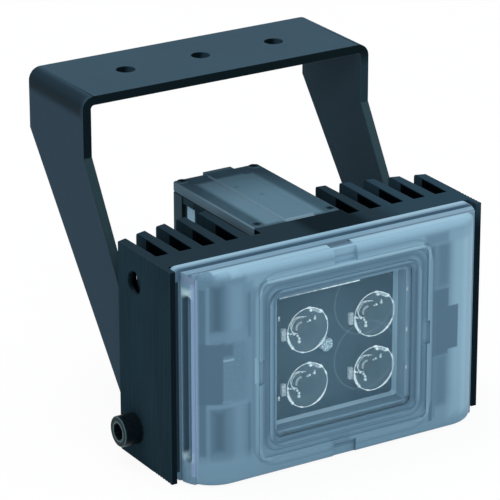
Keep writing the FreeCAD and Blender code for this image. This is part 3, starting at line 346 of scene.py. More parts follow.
finishPlans = {
    # grain: scale across, scale along the height, detail. bump: strength, distance in metres
    # blotch: scale, colour, share. edge, a painted highlight: colour, radius in metres, gain. facing,
    # painted light and shade by the way a face turns: direction, colour, share
    "black_anodised": {
        "color": (0.011, 0.026, 0.037), "shade": (0.018, 0.039, 0.053), "grain": (2600, 40, 3),
        "blotch": (55, (0.022, 0.046, 0.062), 0.35), "edge": ((0.04, 0.075, 0.1), 0.0003, 1.4),
        "roughness": (0.42, 0.58), "bump": (0.25, 0.00006), "sockets": {"Specular IOR Level": 0.0},
        # painted light on faces that look up, painted shade on faces that look to the front
        "facing": [((0, 0, 1), (0.0175, 0.034, 0.047), 1.0), ((0, -1, 0), (0.004, 0.009, 0.013), 0.9)],
        "marks": [  # across, back, up and softness in mm, colour, share
            # painted shade on the top in front of the terminal box
            ((-1, 17), (-8, 21), (69, 80), 4, (0.0025, 0.006, 0.008), 0.95),
            # painted light on the right of the top
            ((28, 60), (-20, 40), (66, 80), 5, (0.026, 0.056, 0.082), 0.85),
            # painted shade in the slots between the fins
            ((-55.3, 55.3), (6, 28.5), (-20, 69.7), 0.15, (0.002, 0.0045, 0.0065), 1.0),
            ((-55.3, 55.3), (6, 26.6), (-20, 69.2), 0.3, (0.001, 0.002, 0.0035), 0.97),
        ],
    },
    "black_powder_coat": {
        "color": (0.021, 0.052, 0.078), "shade": (0.027, 0.062, 0.092), "grain": (2600, 2600, 3),
        "blotch": (35, (0.028, 0.067, 0.1), 0.5), "edge": ((0.06, 0.11, 0.145), 0.0004, 1.3),
        "roughness": (0.42, 0.56), "bump": (0.3, 0.00008), "sockets": {"Specular IOR Level": 0.02},
        # painted shade on faces that look to the front and down, a little lighter on those that look left,
        # darker on those that look right
        "facing": [((0, -1, 0), (0.003, 0.009, 0.012), 0.97), ((0, 0, -1), (0.003, 0.009, 0.012), 0.9),
                   ((-1, 0, 0), (0.026, 0.053, 0.078), 0.9), ((1, 0, 0), (0.02, 0.046, 0.07), 0.5)],
        "marks": [
            # painted shade on the right leg
            ((40, 60), anyBack, (40, 102), 3, (0.02, 0.046, 0.066), 0.75),
            # painted shade on the left bend, darker towards its lower edge
            ((-60, -50), (60.5, 120), (103.4, 120), 1.6, (0.009, 0.021, 0.032), 0.85),
            ((-60, -50), (60.5, 120), (100.8, 104.6), 1.8, (0.004, 0.013, 0.019), 0.85),
            # painted highlights on the legs' slanted edges
            ((-53.05, -50.35), (8, 59.4), (10, 87.4), 0.12, (0.03, 0.064, 0.076), 0.9),
            ((50.35, 53.05), (8, 59.4), (10, 87.4), 0.12, (0.045, 0.085, 0.1), 0.8),
        ],
    },
    "frosted_bezel": {
        "color": frost(0.215), "shade": frost(0.24), "grain": (1500, 1500, 2),
        "blotch": (60, frost(0.26), 0.45), "edge": (frost(0.5), 0.0004, 1.0),
        "roughness": (0.34, 0.5), "bump": (0.15, 0.00005),
        "sockets": {"Specular IOR Level": 0.08},
        # painted light and shade: these marks stand in for the shade in the pockets and recesses seen
        # through the frosted plastic, the light on its top and right wing, and highlights along its ribs
        # and steps
        "marks": [
            # painted highlights and shade at the left wing's margin
            ((-60, -50.45), anyBack, (-5, 68), 0.25, (0.23, 0.34, 0.52), 0.95),
            ((-50.2, -48.8), anyBack, (10, 65), 0.3, frost(0.168), 0.9),
            ((-50.2, -44), anyBack, (27.3, 47.3), 0.4, frost(0.16), 0.95),
            ((-44.5, -40.6), anyBack, (43.2, 47.4), 0.8, frost(0.162), 0.95),
            ((-44.5, -42.5), anyBack, (26, 27.6), 0.6, frost(0.178), 0.8),
            ((-43.9, -40.4), anyBack, (41.5, 42.1), 0.25, frost(0.46), 0.8),
            ((-44.3, -41), anyBack, (27.8, 28.3), 0.25, frost(0.3), 0.7),
            ((-36, -33), anyBack, (8, 66), 1.5, frost(0.265), 0.8),
            # painted shade in the left wing's pockets, painted light on the ribs round them, along the
            # bottom and on the ridge beside them
            ((-48.6, -34.6), anyBack, (50, 66), 0.8, frost(0.205), 0.9),
            ((-47.2, -44.2), anyBack, (51.5, 66), 1.5, frost(0.135), 0.9),
            ((-42, -36.4), anyBack, (48, 66.5), 2.2, frost(0.31), 0.85),
            ((-48.5, -47.8), anyBack, (47.5, 66), 0.4, frost(0.28), 0.9),
            ((-48.4, -35.5), anyBack, (48.3, 51.4), 0.8, frost(0.26), 0.7),
            ((-35.4, -34.4), anyBack, (48, 66), 0.5, frost(0.19), 0.8),
            ((-48.5, -34.8), anyBack, (4, 26.6), 0.7, frost(0.205), 0.8),
            ((-46.8, -43.6), anyBack, (12, 25), 1.3, frost(0.145), 0.9),
            ((-40.4, -36.2), anyBack, (8, 27), 2.0, frost(0.29), 0.85),
            ((-48.5, -47.8), anyBack, (8, 26.6), 0.4, frost(0.27), 0.85),
            ((-48.4, -35.6), anyBack, (26.1, 27.5), 0.4, frost(0.29), 0.8),
            ((-48.4, -35.6), anyBack, (6.8, 8.2), 0.8, frost(0.29), 0.7),
            ((-35.4, -34.4), anyBack, (8, 26), 0.5, frost(0.18), 0.8),
            ((-56, 56), anyBack, (-5, 9), 3.0, frost(0.34), 0.75),
            ((-32.8, -30.8), anyBack, (5, 64.5), 0.4, frost(0.32), 0.8),
            ((-33, -32.2), anyBack, (32, 40.4), 0.3, frost(0.45), 0.7),
            # painted light on the right wing's outer part, painted shade in its pockets, a painted
            # highlight on its ridge
            ((39.2, 60), anyBack, (4, 67), 2.5, frost(0.42), 0.9),
            ((44.3, 46.4), anyBack, (4, 70), 1.5, frost(0.5), 0.6),
            ((34.6, 38.2), anyBack, (50, 66), 1.3, frost(0.195), 0.85),
            ((32.9, 34.0), anyBack, (5, 66), 0.4, frost(0.24), 0.7),
            ((38, 42.2), anyBack, (27.5, 42.1), 0.3, frost(0.17), 0.97),
            ((31.4, 38.4), anyBack, (26.1, 48.4), 0.5, frost(0.168), 0.95),
            ((34.4, 37.6), anyBack, (9, 25), 1.3, frost(0.205), 0.85),
            ((31.5, 32.9), anyBack, (4, 66), 0.3, frost(0.18), 0.9),
            ((29.7, 31.2), (-10.4, -9.7), (5, 65), 0.3, frost(0.37), 0.85),
            # painted light on the top and round the top notch, painted shade over the bottom notch
            ((-36, 60), anyBack, (63.7, 80), 1.2, frost(0.36), 0.85),
            ((29.5, 38), anyBack, (64, 67.4), 1.0, frost(0.24), 0.9),
            ((-37, -33.6), anyBack, (62.5, 66), 1.0, frost(0.26), 0.8),
            ((-41, 60), anyBack, (68.2, 80), 0.8, frost(0.42), 0.9),
            ((-45.5, -38), anyBack, (68.6, 80), 1.8, frost(0.44), 0.8),
            ((-28.5, 28.5), anyBack, (64.2, 65.4), 0.7, frost(0.56), 0.85),
            ((-46, 60), (-7.2, -4.4), (69, 80), 0.5, frost(0.45), 0.9),
            ((-4.6, 3.4), (-8.6, -8.0), (61, 69.4), 0.3, frost(0.42), 0.9),
            ((-4.6, 3.4), (-8.6, -8.0), (66.5, 67.5), 0.6, frost(0.32), 0.8),
            ((-5.3, 1.8), anyBack, (3.6, 7), 0.8, frost(0.19), 0.7),
        ],
        "paintedFrameLines": [  # painted light and shade lines at the window's steps: distance from the opening and half width in mm, colour, share
            (0.9, 0.7, frost(0.16), 0.75), (2.2, 0.9, frost(0.34), 0.7), (3.6, 0.5, frost(0.165), 0.6),
            (5.0, 0.9, frost(0.31), 0.7), (6.6, 1.0, frost(0.4), 0.7), (8.3, 0.6, frost(0.21), 0.4),
        ],
    },
    "frosted_cover": {
        "color": frost(0.25), "shade": frost(0.29), "grain": (1400, 1400, 2),
        "blotch": (50, frost(0.31), 0.5), "edge": (frost(0.45), 0.0003, 0.8),
        "roughness": (0.32, 0.48), "bump": (0.15, 0.00005),
        "sockets": {"Specular IOR Level": 0.15},
        "marks": [
            # painted light on the top and its flange, painted shade in the flange's groove, and a dark seam
            # line
            ((-60, 60), anyBack, (68, 80), 1, frost(0.29), 0.95),
            ((-60, 60), (2.8, 6), (68.5, 80), 0.4, frost(0.42), 0.9),
            ((-60, 60), (0.6, 2.2), (66, 80), 0.4, frost(0.17), 0.9),
            ((-60, 60), (-3.9, -2.8), (68.5, 80), 0.3, frost(0.14), 0.9),
            # painted shade in the recess in the left end, with painted highlights at its edges and ends
            ((-60, -53.3), (0.8, 5), (3, 66), 0.2, frost(0.03), 0.97),
            ((-53.4, -52.6), (-0.4, 1.3), (3, 67), 0.15, frost(0.33), 0.9),
            ((-53.4, -51.2), (-3.3, -0.5), (9, 63), 0.25, frost(0.07), 0.95),
            ((-51.2, -50.4), (-1, -0.5), (3, 67), 0.2, frost(0.3), 0.9),
            ((-52.4, -50.9), (-4.8, -3.4), (3, 67), 0.2, (0.23, 0.34, 0.52), 0.95),
            ((-60, -50.9), (-5, 1.2), (66.4, 69), 0.5, (0.17, 0.25, 0.38), 0.85),
            ((-53.4, -51.2), (-3.4, 0), (62.4, 64.3), 1.4, frost(0.75), 0.95),
            ((-53.4, -51.2), (-3.4, 0), (8.5, 10.1), 1.4, frost(0.75), 0.95),
            # painted light on the right side of the window's collar
            ((23.2, 24.6), (-7.2, 0.5), (11, 59), 0.3, frost(0.42), 0.9),
            # painted shade in the latches' notches, and a painted light patch on the right
            ((-4.6, 4.6), (-7.6, -6.1), (64, 80), 0.25, frost(0.17), 0.95),
            ((-4.6, 4.6), (-6.1, -3.5), (64, 80), 0.25, frost(0.1), 0.95),
            ((-4.3, 4.3), (-7.6, -4.5), (-10, 5), 0.25, frost(0.09), 0.9),
            ((28.6, 32), anyBack, (30.6, 39.4), 0.3, frost(0.5), 0.9),
        ],
    },
    "clear_window": {
        "color": (0.42, 0.68, 0.85), "roughness": (0.08, 0.08), "sockets": {"Alpha": 0.03},
    },
    "smoky_seal": {
        "color": (0.19, 0.34, 0.46), "shade": (0.21, 0.37, 0.5), "grain": (900, 900, 3),
        "roughness": (0.6, 0.8), "bump": (0.2, 0.00005), "sockets": {"Specular IOR Level": 0.2},
    },
    "black_rubber": {
        "color": (0.02, 0.042, 0.06), "shade": (0.03, 0.055, 0.075), "grain": (900, 900, 3),
        "roughness": (0.6, 0.8), "bump": (0.2, 0.00005), "sockets": {"Specular IOR Level": 0.2},
    },
    "grey_pad": {
        "color": (0.22, 0.27, 0.31), "shade": (0.28, 0.33, 0.37), "grain": (700, 700, 3),
        "roughness": (0.6, 0.8), "bump": (0.2, 0.00005),
    },
    "bare_aluminium": {
        "color": (0.5, 0.58, 0.63), "shade": (0.6, 0.67, 0.72), "grain": (2400, 60, 2), "metallic": 1.0,
        "roughness": (0.28, 0.42), "bump": (0.2, 0.00003), "edge": ((0.8, 0.86, 0.9), 0.0003, 2),
    },
    "black_board": {
        "color": (0.058, 0.124, 0.172), "shade": (0.066, 0.136, 0.188), "grain": (500, 500, 4),
        "blotch": (80, (0.075, 0.15, 0.2), 0.4), "roughness": (0.4, 0.5), "bump": (0.1, 0.00003),
        "sockets": {"Specular IOR Level": 0.05},
        # centre, plane, radius and half width in mm, colour, share
        "rings": [((13.4, 0, 46.4), (1, 0, 1), 11.4, 0.4, (0.2, 0.3, 0.36), 0.5),
                  ((13.4, 0, 27.6), (1, 0, 1), 11.4, 0.4, (0.2, 0.3, 0.36), 0.5)],
    },
    "green_board": {
        "color": (0.015, 0.07, 0.06), "shade": (0.02, 0.1, 0.08), "grain": (500, 500, 3),
        "roughness": (0.3, 0.45), "bump": (0.15, 0.00004),
    },
    "led_chip": {
        "color": (0.09, 0.17, 0.23), "shade": (0.12, 0.2, 0.26), "grain": (2500, 2500, 2),
        "roughness": (0.15, 0.25), "bump": (0.1, 0.00003),
    },
    "clear_lens": {
        "color": (0.42, 0.68, 0.82), "roughness": (0.05, 0.05), "sockets": {"Alpha": 0.065},
    },
    "lens_glint": {
        # painted highlights: the lenses' glints are near white and glow faintly
        "color": (0.42, 0.62, 0.7), "shade": (0.95, 1.0, 1.0), "grain": (1300, 1300, 1),
        "roughness": (0.15, 0.25), "bump": (0.05, 0.00003),
        "sockets": {"Specular IOR Level": 0.8, "Emission Color": (0.45, 0.7, 0.78, 1),
                    "Emission Strength": 0.16},
    },
    "lens_haze": {
        "color": (0.3, 0.46, 0.55), "shade": (0.75, 0.9, 0.95), "grain": (1500, 1500, 1),
        "roughness": (0.2, 0.3), "bump": (0.05, 0.00003), "sockets": {"Alpha": 0.6},
    },
    "pale_spacer": {
        "color": (0.44, 0.7, 0.87), "shade": (0.5, 0.77, 0.93), "grain": (1600, 1600, 3),
        "roughness": (0.55, 0.75), "bump": (0.3, 0.00006),
        # painted light on the faces that look up
        "facing": [((0, 0, 1), (0.5, 0.74, 0.88), 0.8)],
    },
    "black_screw": {
        "color": (0.002, 0.005, 0.0075), "shade": (0.005, 0.01, 0.014), "grain": (1800, 1800, 2),
        "roughness": (0.25, 0.4), "bump": (0.2, 0.00005), "edge": ((0.035, 0.065, 0.075), 0.0003, 1.0),
        "sockets": {"Specular IOR Level": 0.05},
        # painted light on the pivot screw's end face, with painted glints round its socket and rim
        "rings": [((-63, 22.2, 10.8), (0, 1, 1), 3.6, 0.7, (0.012, 0.028, 0.033), 0.9),
                  ((-63, 22.2, 10.8), (0, 1, 1), 3.1, 0.3, (0.11, 0.22, 0.25), 0.8),
                  ((-63, 22.2, 10.8), (0, 1, 1), 4.75, 0.25, (0.09, 0.19, 0.22), 0.8)],
    },
    "lid_screw_black": {
        "color": (0.03, 0.06, 0.084), "shade": (0.04, 0.075, 0.1), "grain": (1800, 1800, 2),
        "roughness": (0.25, 0.4), "bump": (0.1, 0.00003), "sockets": {"Specular IOR Level": 0.0},
        # painted highlight round each screw head, painted shade in its socket
        "rings": [((across, back, 70), (1, 1, 0), radius, width, tint, share)
                  for across in (-13.5, 13.5) for back in (20.8, 66.6)
                  for radius, width, tint, share in ((1.8, 0.3, (0.12, 0.2, 0.26), 0.6),
                                                     (0.0, 2.0, (0.002, 0.004, 0.006), 1.0))],
    },
    "bright_screw": {
        # painted glints: the grain runs from dark blue to near white, as sparkling highlights
        "color": (0.05, 0.13, 0.2), "shade": (0.6, 0.88, 1.0), "grain": (1900, 1900, 1),
        "roughness": (0.15, 0.3), "bump": (0.3, 0.00005), "edge": ((0.5, 0.78, 0.92), 0.0003, 0.7),
    },
    "box_plastic": {
        "color": (0.028, 0.055, 0.072), "shade": (0.036, 0.067, 0.086), "grain": (1200, 1200, 3),
        "blotch": (70, (0.04, 0.07, 0.085), 0.4), "roughness": (0.4, 0.55), "bump": (0.2, 0.00005),
        "edge": ((0.09, 0.15, 0.19), 0.0003, 1.5), "sockets": {"Specular IOR Level": 0.0},
        "marks": [
            # painted light on the rear corner of the left wall, a dark line before it, and painted shade
            # below the lid
            ((-17, -15.3), (62.8, 69), anyUp, 0.3, (0.065, 0.11, 0.14), 0.9),
            ((-17, -15), (61.7, 62.7), anyUp, 0.2, (0.004, 0.008, 0.01), 0.9),
            ((-17, -15), (18, 55.6), (58, 67), 0.5, (0.012, 0.026, 0.034), 0.7),
        ],
    },
    "frosted_lid": {
        "color": (0.035, 0.071, 0.1), "shade": (0.045, 0.086, 0.12), "grain": (1300, 1300, 3),
        "blotch": (160, (0.055, 0.1, 0.13), 0.5), "roughness": (0.25, 0.4), "bump": (0.15, 0.00004),
        # painted light on the lid's left side
        "edge": ((0.2, 0.33, 0.42), 0.0003, 2.0), "facing": [((-1, 0, 0), (0.11, 0.21, 0.28), 0.9)],
        "sockets": {"Specular IOR Level": 0.0},
        "marks": [
            ((-11, 10), (19.5, 61.5), (66, 80), 1.3, (0.112, 0.2, 0.262), 0.95),
            ((-3.9, 9), (21, 60), (66, 80), 1.5, (0.085, 0.165, 0.22), 0.6),
            ((-3.6, 9), (22, 58), (66, 80), 5.0, (0.11, 0.2, 0.26), 0.4),
            ((-16.2, 16.2), (67.6, 70), (66, 80), 0.5, (0.09, 0.16, 0.21), 0.6),
            ((-2.4, -1.3), (51.6, 52.6), (66, 80), 0.3, (0.05, 0.1, 0.13), 0.8),
            ((0.9, 2.4), (41.9, 42.9), (66, 80), 0.4, (0.055, 0.11, 0.14), 0.6),
            ((-16.2, -15.2), (18, 62), (67, 68.2), 0.15, (0.03, 0.055, 0.07), 0.7),
            # painted highlights along the lid's left edge and its inner rim
            ((-16.4, -15.6), (18, 70), (66, 80), 0.4, (0.15, 0.24, 0.3), 0.8),
            ((-4.2, 6.4), (18, 19.7), (66, 80), 0.3, (0.2, 0.3, 0.37), 0.8),
            ((-4.5, -3.9), (19, 66), (66, 80), 0.2, (0.16, 0.25, 0.31), 0.8),
        ],
    },
    "component_plastic": {
        "color": (0.035, 0.05, 0.065), "shade": (0.05, 0.07, 0.09), "grain": (900, 900, 3),
        "roughness": (0.35, 0.5), "bump": (0.15, 0.00004),
    },
    "lead_sleeve": {
        "color": (0.25, 0.28, 0.3), "shade": (0.3, 0.33, 0.35), "grain": (900, 900, 2),
        "roughness": (0.45, 0.55), "bump": (0.1, 0.00003),
    },
    "gland_nylon": {
        "color": (0.018, 0.03, 0.038), "shade": (0.026, 0.042, 0.052), "grain": (1100, 1100, 3),
        "roughness": (0.4, 0.55), "bump": (0.2, 0.00004), "edge": ((0.08, 0.12, 0.15), 0.0004, 2),
        "sockets": {"Specular IOR Level": 0.3},
    },
    "bare_sticker": {
        "color": (0.36, 0.6, 0.76), "shade": (0.42, 0.67, 0.84), "grain": (800, 800, 3),
        "roughness": (0.4, 0.55), "bump": (0.1, 0.00003), "sockets": {"Specular IOR Level": 0.05},
    },
}


windowOpening = {
    "centre": (0, 0, 35),  # mm
    "half": (0.0244, 10, 0.0229),  # metres: it has no limit to the back
    "round": 0.0008,  # metres
}


def tinted(tree, color, mask, share, tint):
    return mixed(tree, calc(tree, "MULTIPLY", mask, share), color, (*tint, 1))


def paintColor(tree, plan, grain):  # the colours of a finish, each laid over the last: its own grain and blotches, then facing, marks, frame lines and rings, which mostly paint light and shade, then painted edge highlights
    color = mixed(tree, grain, (*plan["color"], 1), (*plan["shade"], 1))
    if "blotch" in plan:
        scale, tint, share = plan["blotch"]
        cloud = effect(tree, "grain", Across=scale, Along=scale, Detail=effectPlan["blotchDetail"])
        color = tinted(tree, color, cloud, share, tint)
    # painted light and shade by the way each face turns
    for direction, tint, share in plan.get("facing", []):
        color = tinted(tree, color, effect(tree, "facing", Direction=direction), share, tint)
    for across, back, up, soft, tint, share in plan.get("marks", []):
        color = tinted(tree, color, boxMark(tree, across, back, up, soft), share, tint)
    # painted light and shade lines round the window's steps
    if "paintedFrameLines" in plan:
        distance = effect(tree, "frame", Centre=spot(*windowOpening["centre"]), Half=windowOpening["half"],
                          Round=windowOpening["round"])
    for place, width, tint, share in plan.get("paintedFrameLines", []):
        off = calc(tree, "ABSOLUTE", calc(tree, "SUBTRACT", distance, place))
        color = mixed(tree, ranged(tree, off, 0, width, share, 0, True), color, (*tint, 1))
    for centre, plane, radius, width, tint, share in plan.get("rings", []):
        mask = effect(tree, "ring", Centre=spot(*centre), Plane=plane, Radius=radius / perMetre,
                      Width=width / perMetre)
        color = tinted(tree, color, mask, share, tint)
    # painted highlights along edges and corners
    if "edge" in plan:
        tint, radius, gain = plan["edge"]
        color = mixed(tree, effect(tree, "edges", Radius=radius, Gain=gain), color, (*tint, 1))
    return color


def mixFinish(name, plan):
    paint = bpy.data.materials.new(name)
    paint.use_nodes = True
    tree = paint.node_tree
    shader = tree.nodes["Principled BSDF"]
    low, high = plan["roughness"]
    shader.inputs["Metallic"].default_value = plan.get("metallic", 0)
    for label, value in plan.get("sockets", {}).items():
        shader.inputs[label].default_value = value
    if "grain" not in plan:  # polished and clear
        shader.inputs["Base Color"].default_value = (*plan["color"], 1)
        shader.inputs["Roughness"].default_value = low
        return paint
    across, along, detail = plan["grain"]
    grain = effect(tree, "grain", Across=across, Along=along, Detail=detail)
    feed(tree, shader.inputs["Base Color"], paintColor(tree, plan, grain))
    feed(tree, shader.inputs["Roughness"], ranged(tree, grain, 0, 1, low, high))
    strength, distance = plan["bump"]
    bump = addNode(tree, "Bump")
    bump.inputs["Strength"].default_value = strength
    bump.inputs["Distance"].default_value = distance
    feed(tree, bump.inputs["Height"], grain)
    feed(tree, shader.inputs["Normal"], bump.outputs[0])
    return paint


finishes = {slot: mixFinish(slot.title().replace("_", ""), plan) for slot, plan in finishPlans.items()}
ownFinish = {node: "lid_screw_black" for node in lampSlots if node.startswith("lid_screw")}
ownFinish["pane_seal"] = "smoky_seal"
for node, slot in lampSlots.items():
    mesh = lampNodes[node].data
    mesh.materials.clear()
    mesh.materials.append(finishes[ownFinish.get(node, slot)])

# New pieces
print("bevelled housings")


def addBlock(shape, low, high):
    bmesh.ops.create_cube(shape, size=1, matrix=Matrix.Translation((low + high) / 2)
                          @ Matrix.Diagonal((*(high - low), 1)))


def roundEdges(shape, edges, offset, segments, **more):  # the offset in mm
    bmesh.ops.bevel(shape, geom=edges, offset=offset / perMetre, segments=segments, affect="EDGES",
                    profile=0.5, material=-1, **more)


def finishPiece(name, shape, body, slot, finish=None, sharp=35, stands=()):
    bmesh.ops.remove_doubles(shape, verts=shape.verts, dist=mergeGap)
    bmesh.ops.recalc_face_normals(shape, faces=shape.faces)
    mesh = bpy.data.meshes.new(name)
    shape.to_mesh(mesh)
    shape.free()
    mesh.polygons.foreach_set("use_smooth", [True] * len(mesh.polygons))
    mesh.set_sharp_from_angle(angle=math.radians(sharp))
    mesh.materials.append(finishes[finish or slot])
    piece = bpy.data.objects.new(name, mesh)
    bpy.context.scene.collection.objects.link(piece)
    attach(piece, body)
    if stands:
        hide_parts(*stands)
    return piece


softEdges = {  # node: bevel in mm, segments, least width of a face beside a bevelled edge in mm
    "heatsink": (0.25, 2, 1.0),
    "u_bracket": (0.4, 3, 2.0),
    "front_bezel": (0.22, 2, 0.7),
    "cover_base": (0.22, 2, 0.8),
    "terminal_box": (0.3, 2, 1.2),
    "box_lid": (0.3, 2, 1.2),
    "gland_body": (0.3, 2, 1.2),
    "gland_nut": (0.3, 2, 1.2),
    "gland_locknut": (0.25, 2, 1.0),
}
softPlan = {
    "weld": 2e-6,  # metres
    "flat": 1,  # degrees: faces that turn less become one
    "corner": 35,  # degrees: edges that turn more are bevelled
    "sharp": 50,  # degrees: edges that turn more stay sharp in the shading
    "weight": 60,  # how much the larger faces count in the shading
}


def weighNormals(piece):
    weigh = piece.modifiers.new("evenShading", "WEIGHTED_NORMAL")
    weigh.keep_sharp = True
    weigh.weight = softPlan["weight"]


def wantsBevel(edge, least):
    if len(edge.link_faces) != 2 or edge.calc_length() < least:
        return False
    if edge.calc_face_angle(0) < math.radians(softPlan["corner"]):
        return False
    return all(face.calc_area() / edge.calc_length() > least for face in edge.link_faces)


def softCopy(node, bevel, segments, least):
    shape = bmesh.new()
    shape.from_mesh(lampNodes[node].data)
    bmesh.ops.remove_doubles(shape, verts=shape.verts, dist=softPlan["weld"])
    bmesh.ops.dissolve_limit(shape, angle_limit=math.radians(softPlan["flat"]), verts=shape.verts,
                             edges=shape.edges)
    corners = [edge for edge in shape.edges if wantsBevel(edge, least / perMetre)]
    roundEdges(shape, corners, bevel, segments, clamp_overlap=True)
    piece = finishPiece(node + "_soft", shape, bodyOf(node), lampSlots[node], sharp=softPlan["sharp"],
                        stands=(node,))
    weighNormals(piece)
    return piece


for node, plan in softEdges.items():
    piece = softCopy(node, *plan)
    print("  ", node, len(piece.data.polygons), "faces")

print("lenses")
lensPlan = {  # sizes in mm, angles in degrees
    "places": {"top_left": (-12.3, 44.2), "top_right": (12.3, 44.2),
               "bottom_left": (-12.3, 25.8), "bottom_right": (12.3, 25.8)},
    "bowl": [  # radius and depth
        (0, -0.7), (3.3, -0.7), (4.6, -1.8), (5.8, -3.4), (6.8, -5.2), (7.3, -6.5), (7.35, -6.9),
        (7.1, -7.0), (2.9, -7.0), (2.6, -4.0), (2.2, -3.3), (0, -3.0),
    ],
    # the rim, arcs and beads are glints: bright, glowing pieces that stand in for highlights in the clear
    # lens
    "rim": {
        "radius": 7.3, "depth": -6.9, "thick": 0.12,
        "swell": [(-48, 32, 1.6), (203, 22, 2.2), (85, 7, 2.4),  # degrees round, half width, gain
                  (47, 7, 2.6), (21, 8, 1.6), (254, 6, 1.4)],
    },
    "arcs": [  # across, up, depth, radius, start, sweep, thickness
        (-0.4, 0.0, -2.2, 2.75, 50, 215, 0.14), (0.5, -0.9, -2.4, 1.7, 88, 110, 0.32),
        (-0.2, -0.2, -3.6, 3.5, 60, 150, 0.1),
    ],
    "beads": [  # across, up, depth, radius
        (2.5, 0.9, -3.0, 0.3), (3.3, 1.1, -3.0, 0.4), (5.1, 1.4, -3.0, 0.45), (5.2, 2.1, -3.0, 0.3),
        (-3.6, -2.0, -3.0, 0.3), (-2.4, -2.3, -3.0, 0.42), (-1.2, -3.1, -3.0, 0.42),
        (-0.6, -4.1, -3.0, 0.45), (-0.6, -5.2, -3.0, 0.55), (1.2, 6.3, -6.8, 0.5),
        (4.7, 5.2, -6.8, 0.52), (-7.0, 0.3, -6.8, 0.45), (-5.4, -4.9, -6.8, 0.52),
        (-6.6, -2.4, -6.0, 0.4), (4.8, -5.6, -6.8, 0.4), (-0.8, 2.9, -3.0, 0.3),
    ],
    "beadLevel": 2,
    "lugs": [(47, 38, 6.2, 7.2), (184, 38, 6.7, 7.25)],  # start, sweep, inner and outer radius
    "lugDepth": (-6.9, -6.4),
    "leg": ((-9.1, -7.55), (-6.7, -5.6), (-2.0, 2.0)),  # across, depth, up
    "legRound": (0.18, 2),  # radius, segments
    "steps": {"bowl": 64, "rim": 120, "arc": 40, "lug": 12},
    "wireSides": 8,
}


def turned(profile, across, up, steps, start=0, sweep=360):  # a profile spun round a lens's own axis
    shape = bmesh.new()
    points = [shape.verts.new(spot(across + radius, depth, up)) for radius, depth in profile]
    for first, second in zip(points, points[1:]):
        shape.edges.new((first, second))
    bmesh.ops.rotate(shape, verts=shape.verts, cent=spot(across, 0, up),
                     matrix=Matrix.Rotation(math.radians(-start), 3, "Y"))
    bmesh.ops.spin(shape, geom=shape.verts[:] + shape.edges[:], cent=spot(across, 0, up), axis=(0, -1, 0),
                   angle=math.radians(sweep), steps=steps, use_merge=sweep == 360, use_duplicate=False)
    return shape


def closeTurn(shape, sides):  # merges the seam and closes the two ends
    bmesh.ops.remove_doubles(shape, verts=shape.verts, dist=mergeGap)
    bmesh.ops.holes_fill(shape, edges=shape.edges, sides=sides)


def wire(across, up, depth, radius, thick, sides, steps, start=0, sweep=360):
    turns = [2 * math.pi * step / sides for step in range(sides)]
    around = [(radius + thick * math.cos(turn), depth + thick * math.sin(turn)) for turn in turns]
    shape = turned(around + around[:1], across, up, steps, start, sweep)
    closeTurn(shape, sides)
    return shape


def join(shape, extra):  # takes one bmesh into another
    mesh = bpy.data.meshes.new("spare")
    extra.to_mesh(mesh)
    extra.free()
    shape.from_mesh(mesh)
    bpy.data.meshes.remove(mesh)


def swell(shape, across, up, rim):  # thickens the rim's glint wire where its painted highlights are broadest
    for vertex in shape.verts:
        point = vertex.co - spot(across, rim["depth"], up)
        angle = math.degrees(math.atan2(point.z, point.x))
        line = Vector((point.x, 0, point.z)).normalized() * rim["radius"] / perMetre
        more = sum(gain * max(0, 1 - (((angle - at + 180) % 360 - 180) / width) ** 2)
                   for at, width, gain in rim["swell"])
        vertex.co += (point - line) * more


def makeLensGlints(name, across, up, plan):
    rim, sides, steps = plan["rim"], plan["wireSides"], plan["steps"]
    glints = wire(across, up, rim["depth"], rim["radius"], rim["thick"], sides, steps["rim"])
    swell(glints, across, up, rim)
    for right, above, depth, radius, start, sweep, thick in plan["arcs"]:
        arc = wire(across + right, up + above, depth, radius, thick, sides, steps["arc"], start, sweep)
        join(glints, arc)
    for right, above, depth, radius in plan["beads"]:
        bead = bmesh.new()
        bmesh.ops.create_icosphere(bead, subdivisions=plan["beadLevel"], radius=radius / perMetre,
                                   matrix=Matrix.Translation(spot(across + right, depth, up + above)))
        join(glints, bead)
    finishPiece("lens_glints_" + name, glints, "head", "clear_lens", "lens_glint")


def makeLensLugs(name, across, up, plan):
    haze = bmesh.new()
    rear, front = plan["lugDepth"]
    for start, sweep, inner, outer in plan["lugs"]:
        ring = [(inner, rear), (outer, rear), (outer, front), (inner, front), (inner, rear)]
        lug = turned(ring, across, up, plan["steps"]["lug"], start, sweep)
        closeTurn(lug, 4)
        join(haze, lug)
    leg = bmesh.new()
    shift = Vector((across, 0, up)) / perMetre
    addBlock(leg, *(spot(*corner) + shift for corner in zip(*plan["leg"])))
    roundEdges(leg, leg.edges[:], *plan["legRound"])
    join(haze, leg)
    finishPiece("lens_lugs_" + name, haze, "head", "clear_lens", "lens_haze")


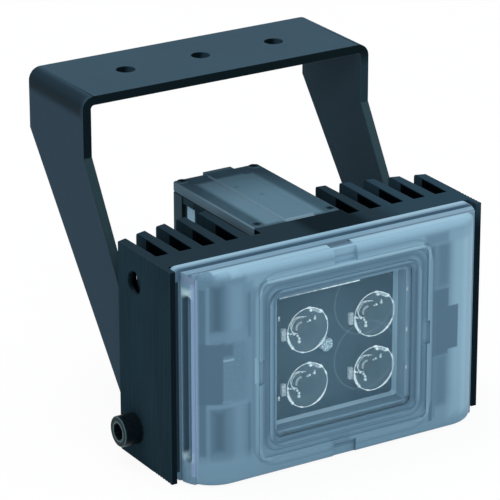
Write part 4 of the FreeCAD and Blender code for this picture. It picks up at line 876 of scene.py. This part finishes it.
def makeLens(name, across, up, plan):
    bowl = turned(plan["bowl"], across, up, plan["steps"]["bowl"])
    finishPiece("lens_bowl_" + name, bowl, "head", "clear_lens", stands=("lens_" + name,))
    makeLensGlints(name, across, up, plan)
    makeLensLugs(name, across, up, plan)


for name, (across, up) in lensPlan["places"].items():
    makeLens(name, across, up, lensPlan)

print("small pieces")
stickerPlan = {  # mm
    "back": (55.9, 60.5), "up": (59.6, 64.6), "wall": -15.1, "thick": 0.12, "round": (0.4, 3),
}


def makeSticker(plan):
    shape = bmesh.new()
    (near, far), (low, high), wall = plan["back"], plan["up"], plan["wall"]
    addBlock(shape, spot(wall - plan["thick"], near, low), spot(wall, far, high))
    leastAcross = plan["thick"] / 2 / perMetre  # only the edges through its thickness run across
    corners = [edge for edge in shape.edges if abs(edge.verts[0].co.x - edge.verts[1].co.x) > leastAcross]
    roundEdges(shape, corners, *plan["round"])
    finishPiece("side_sticker", shape, "head", "pale_spacer", "bare_sticker")


makeSticker(stickerPlan)

glintPlan = {  # across, back, up in mm: painted highlights, a bright strip along the pane's top edge and light ticks beside it
    "pane_edge": ("lens_glint", [((-8, 5.8), (-8.36, -8.26), (57.2, 57.55))]),
    "pane_light_ticks": ("lens_haze", [
        ((-23.4, -8), (-8.36, -8.26), (57.2, 57.6)), ((-23.9, -23.2), (-8.36, -8.26), (50, 51.6)),
        ((-23.9, -23.2), (-8.36, -8.26), (23.6, 25)), ((23.2, 23.9), (-8.36, -8.26), (50, 51.4)),
        ((23.2, 23.9), (-8.36, -8.26), (36.4, 37.8)), ((23.2, 23.9), (-8.36, -8.26), (23.4, 24.8)),
    ]),
}
glintRound = (0.03, 1)  # radius in mm, segments


def makeGlints(name, finish, blocks):
    shape = bmesh.new()
    for across, back, up in blocks:
        addBlock(shape, spot(across[0], back[0], up[0]), spot(across[1], back[1], up[1]))
    roundEdges(shape, shape.edges[:], *glintRound)
    finishPiece(name, shape, "head", "clear_window", finish)


for name, (finish, blocks) in glintPlan.items():
    makeGlints(name, finish, blocks)
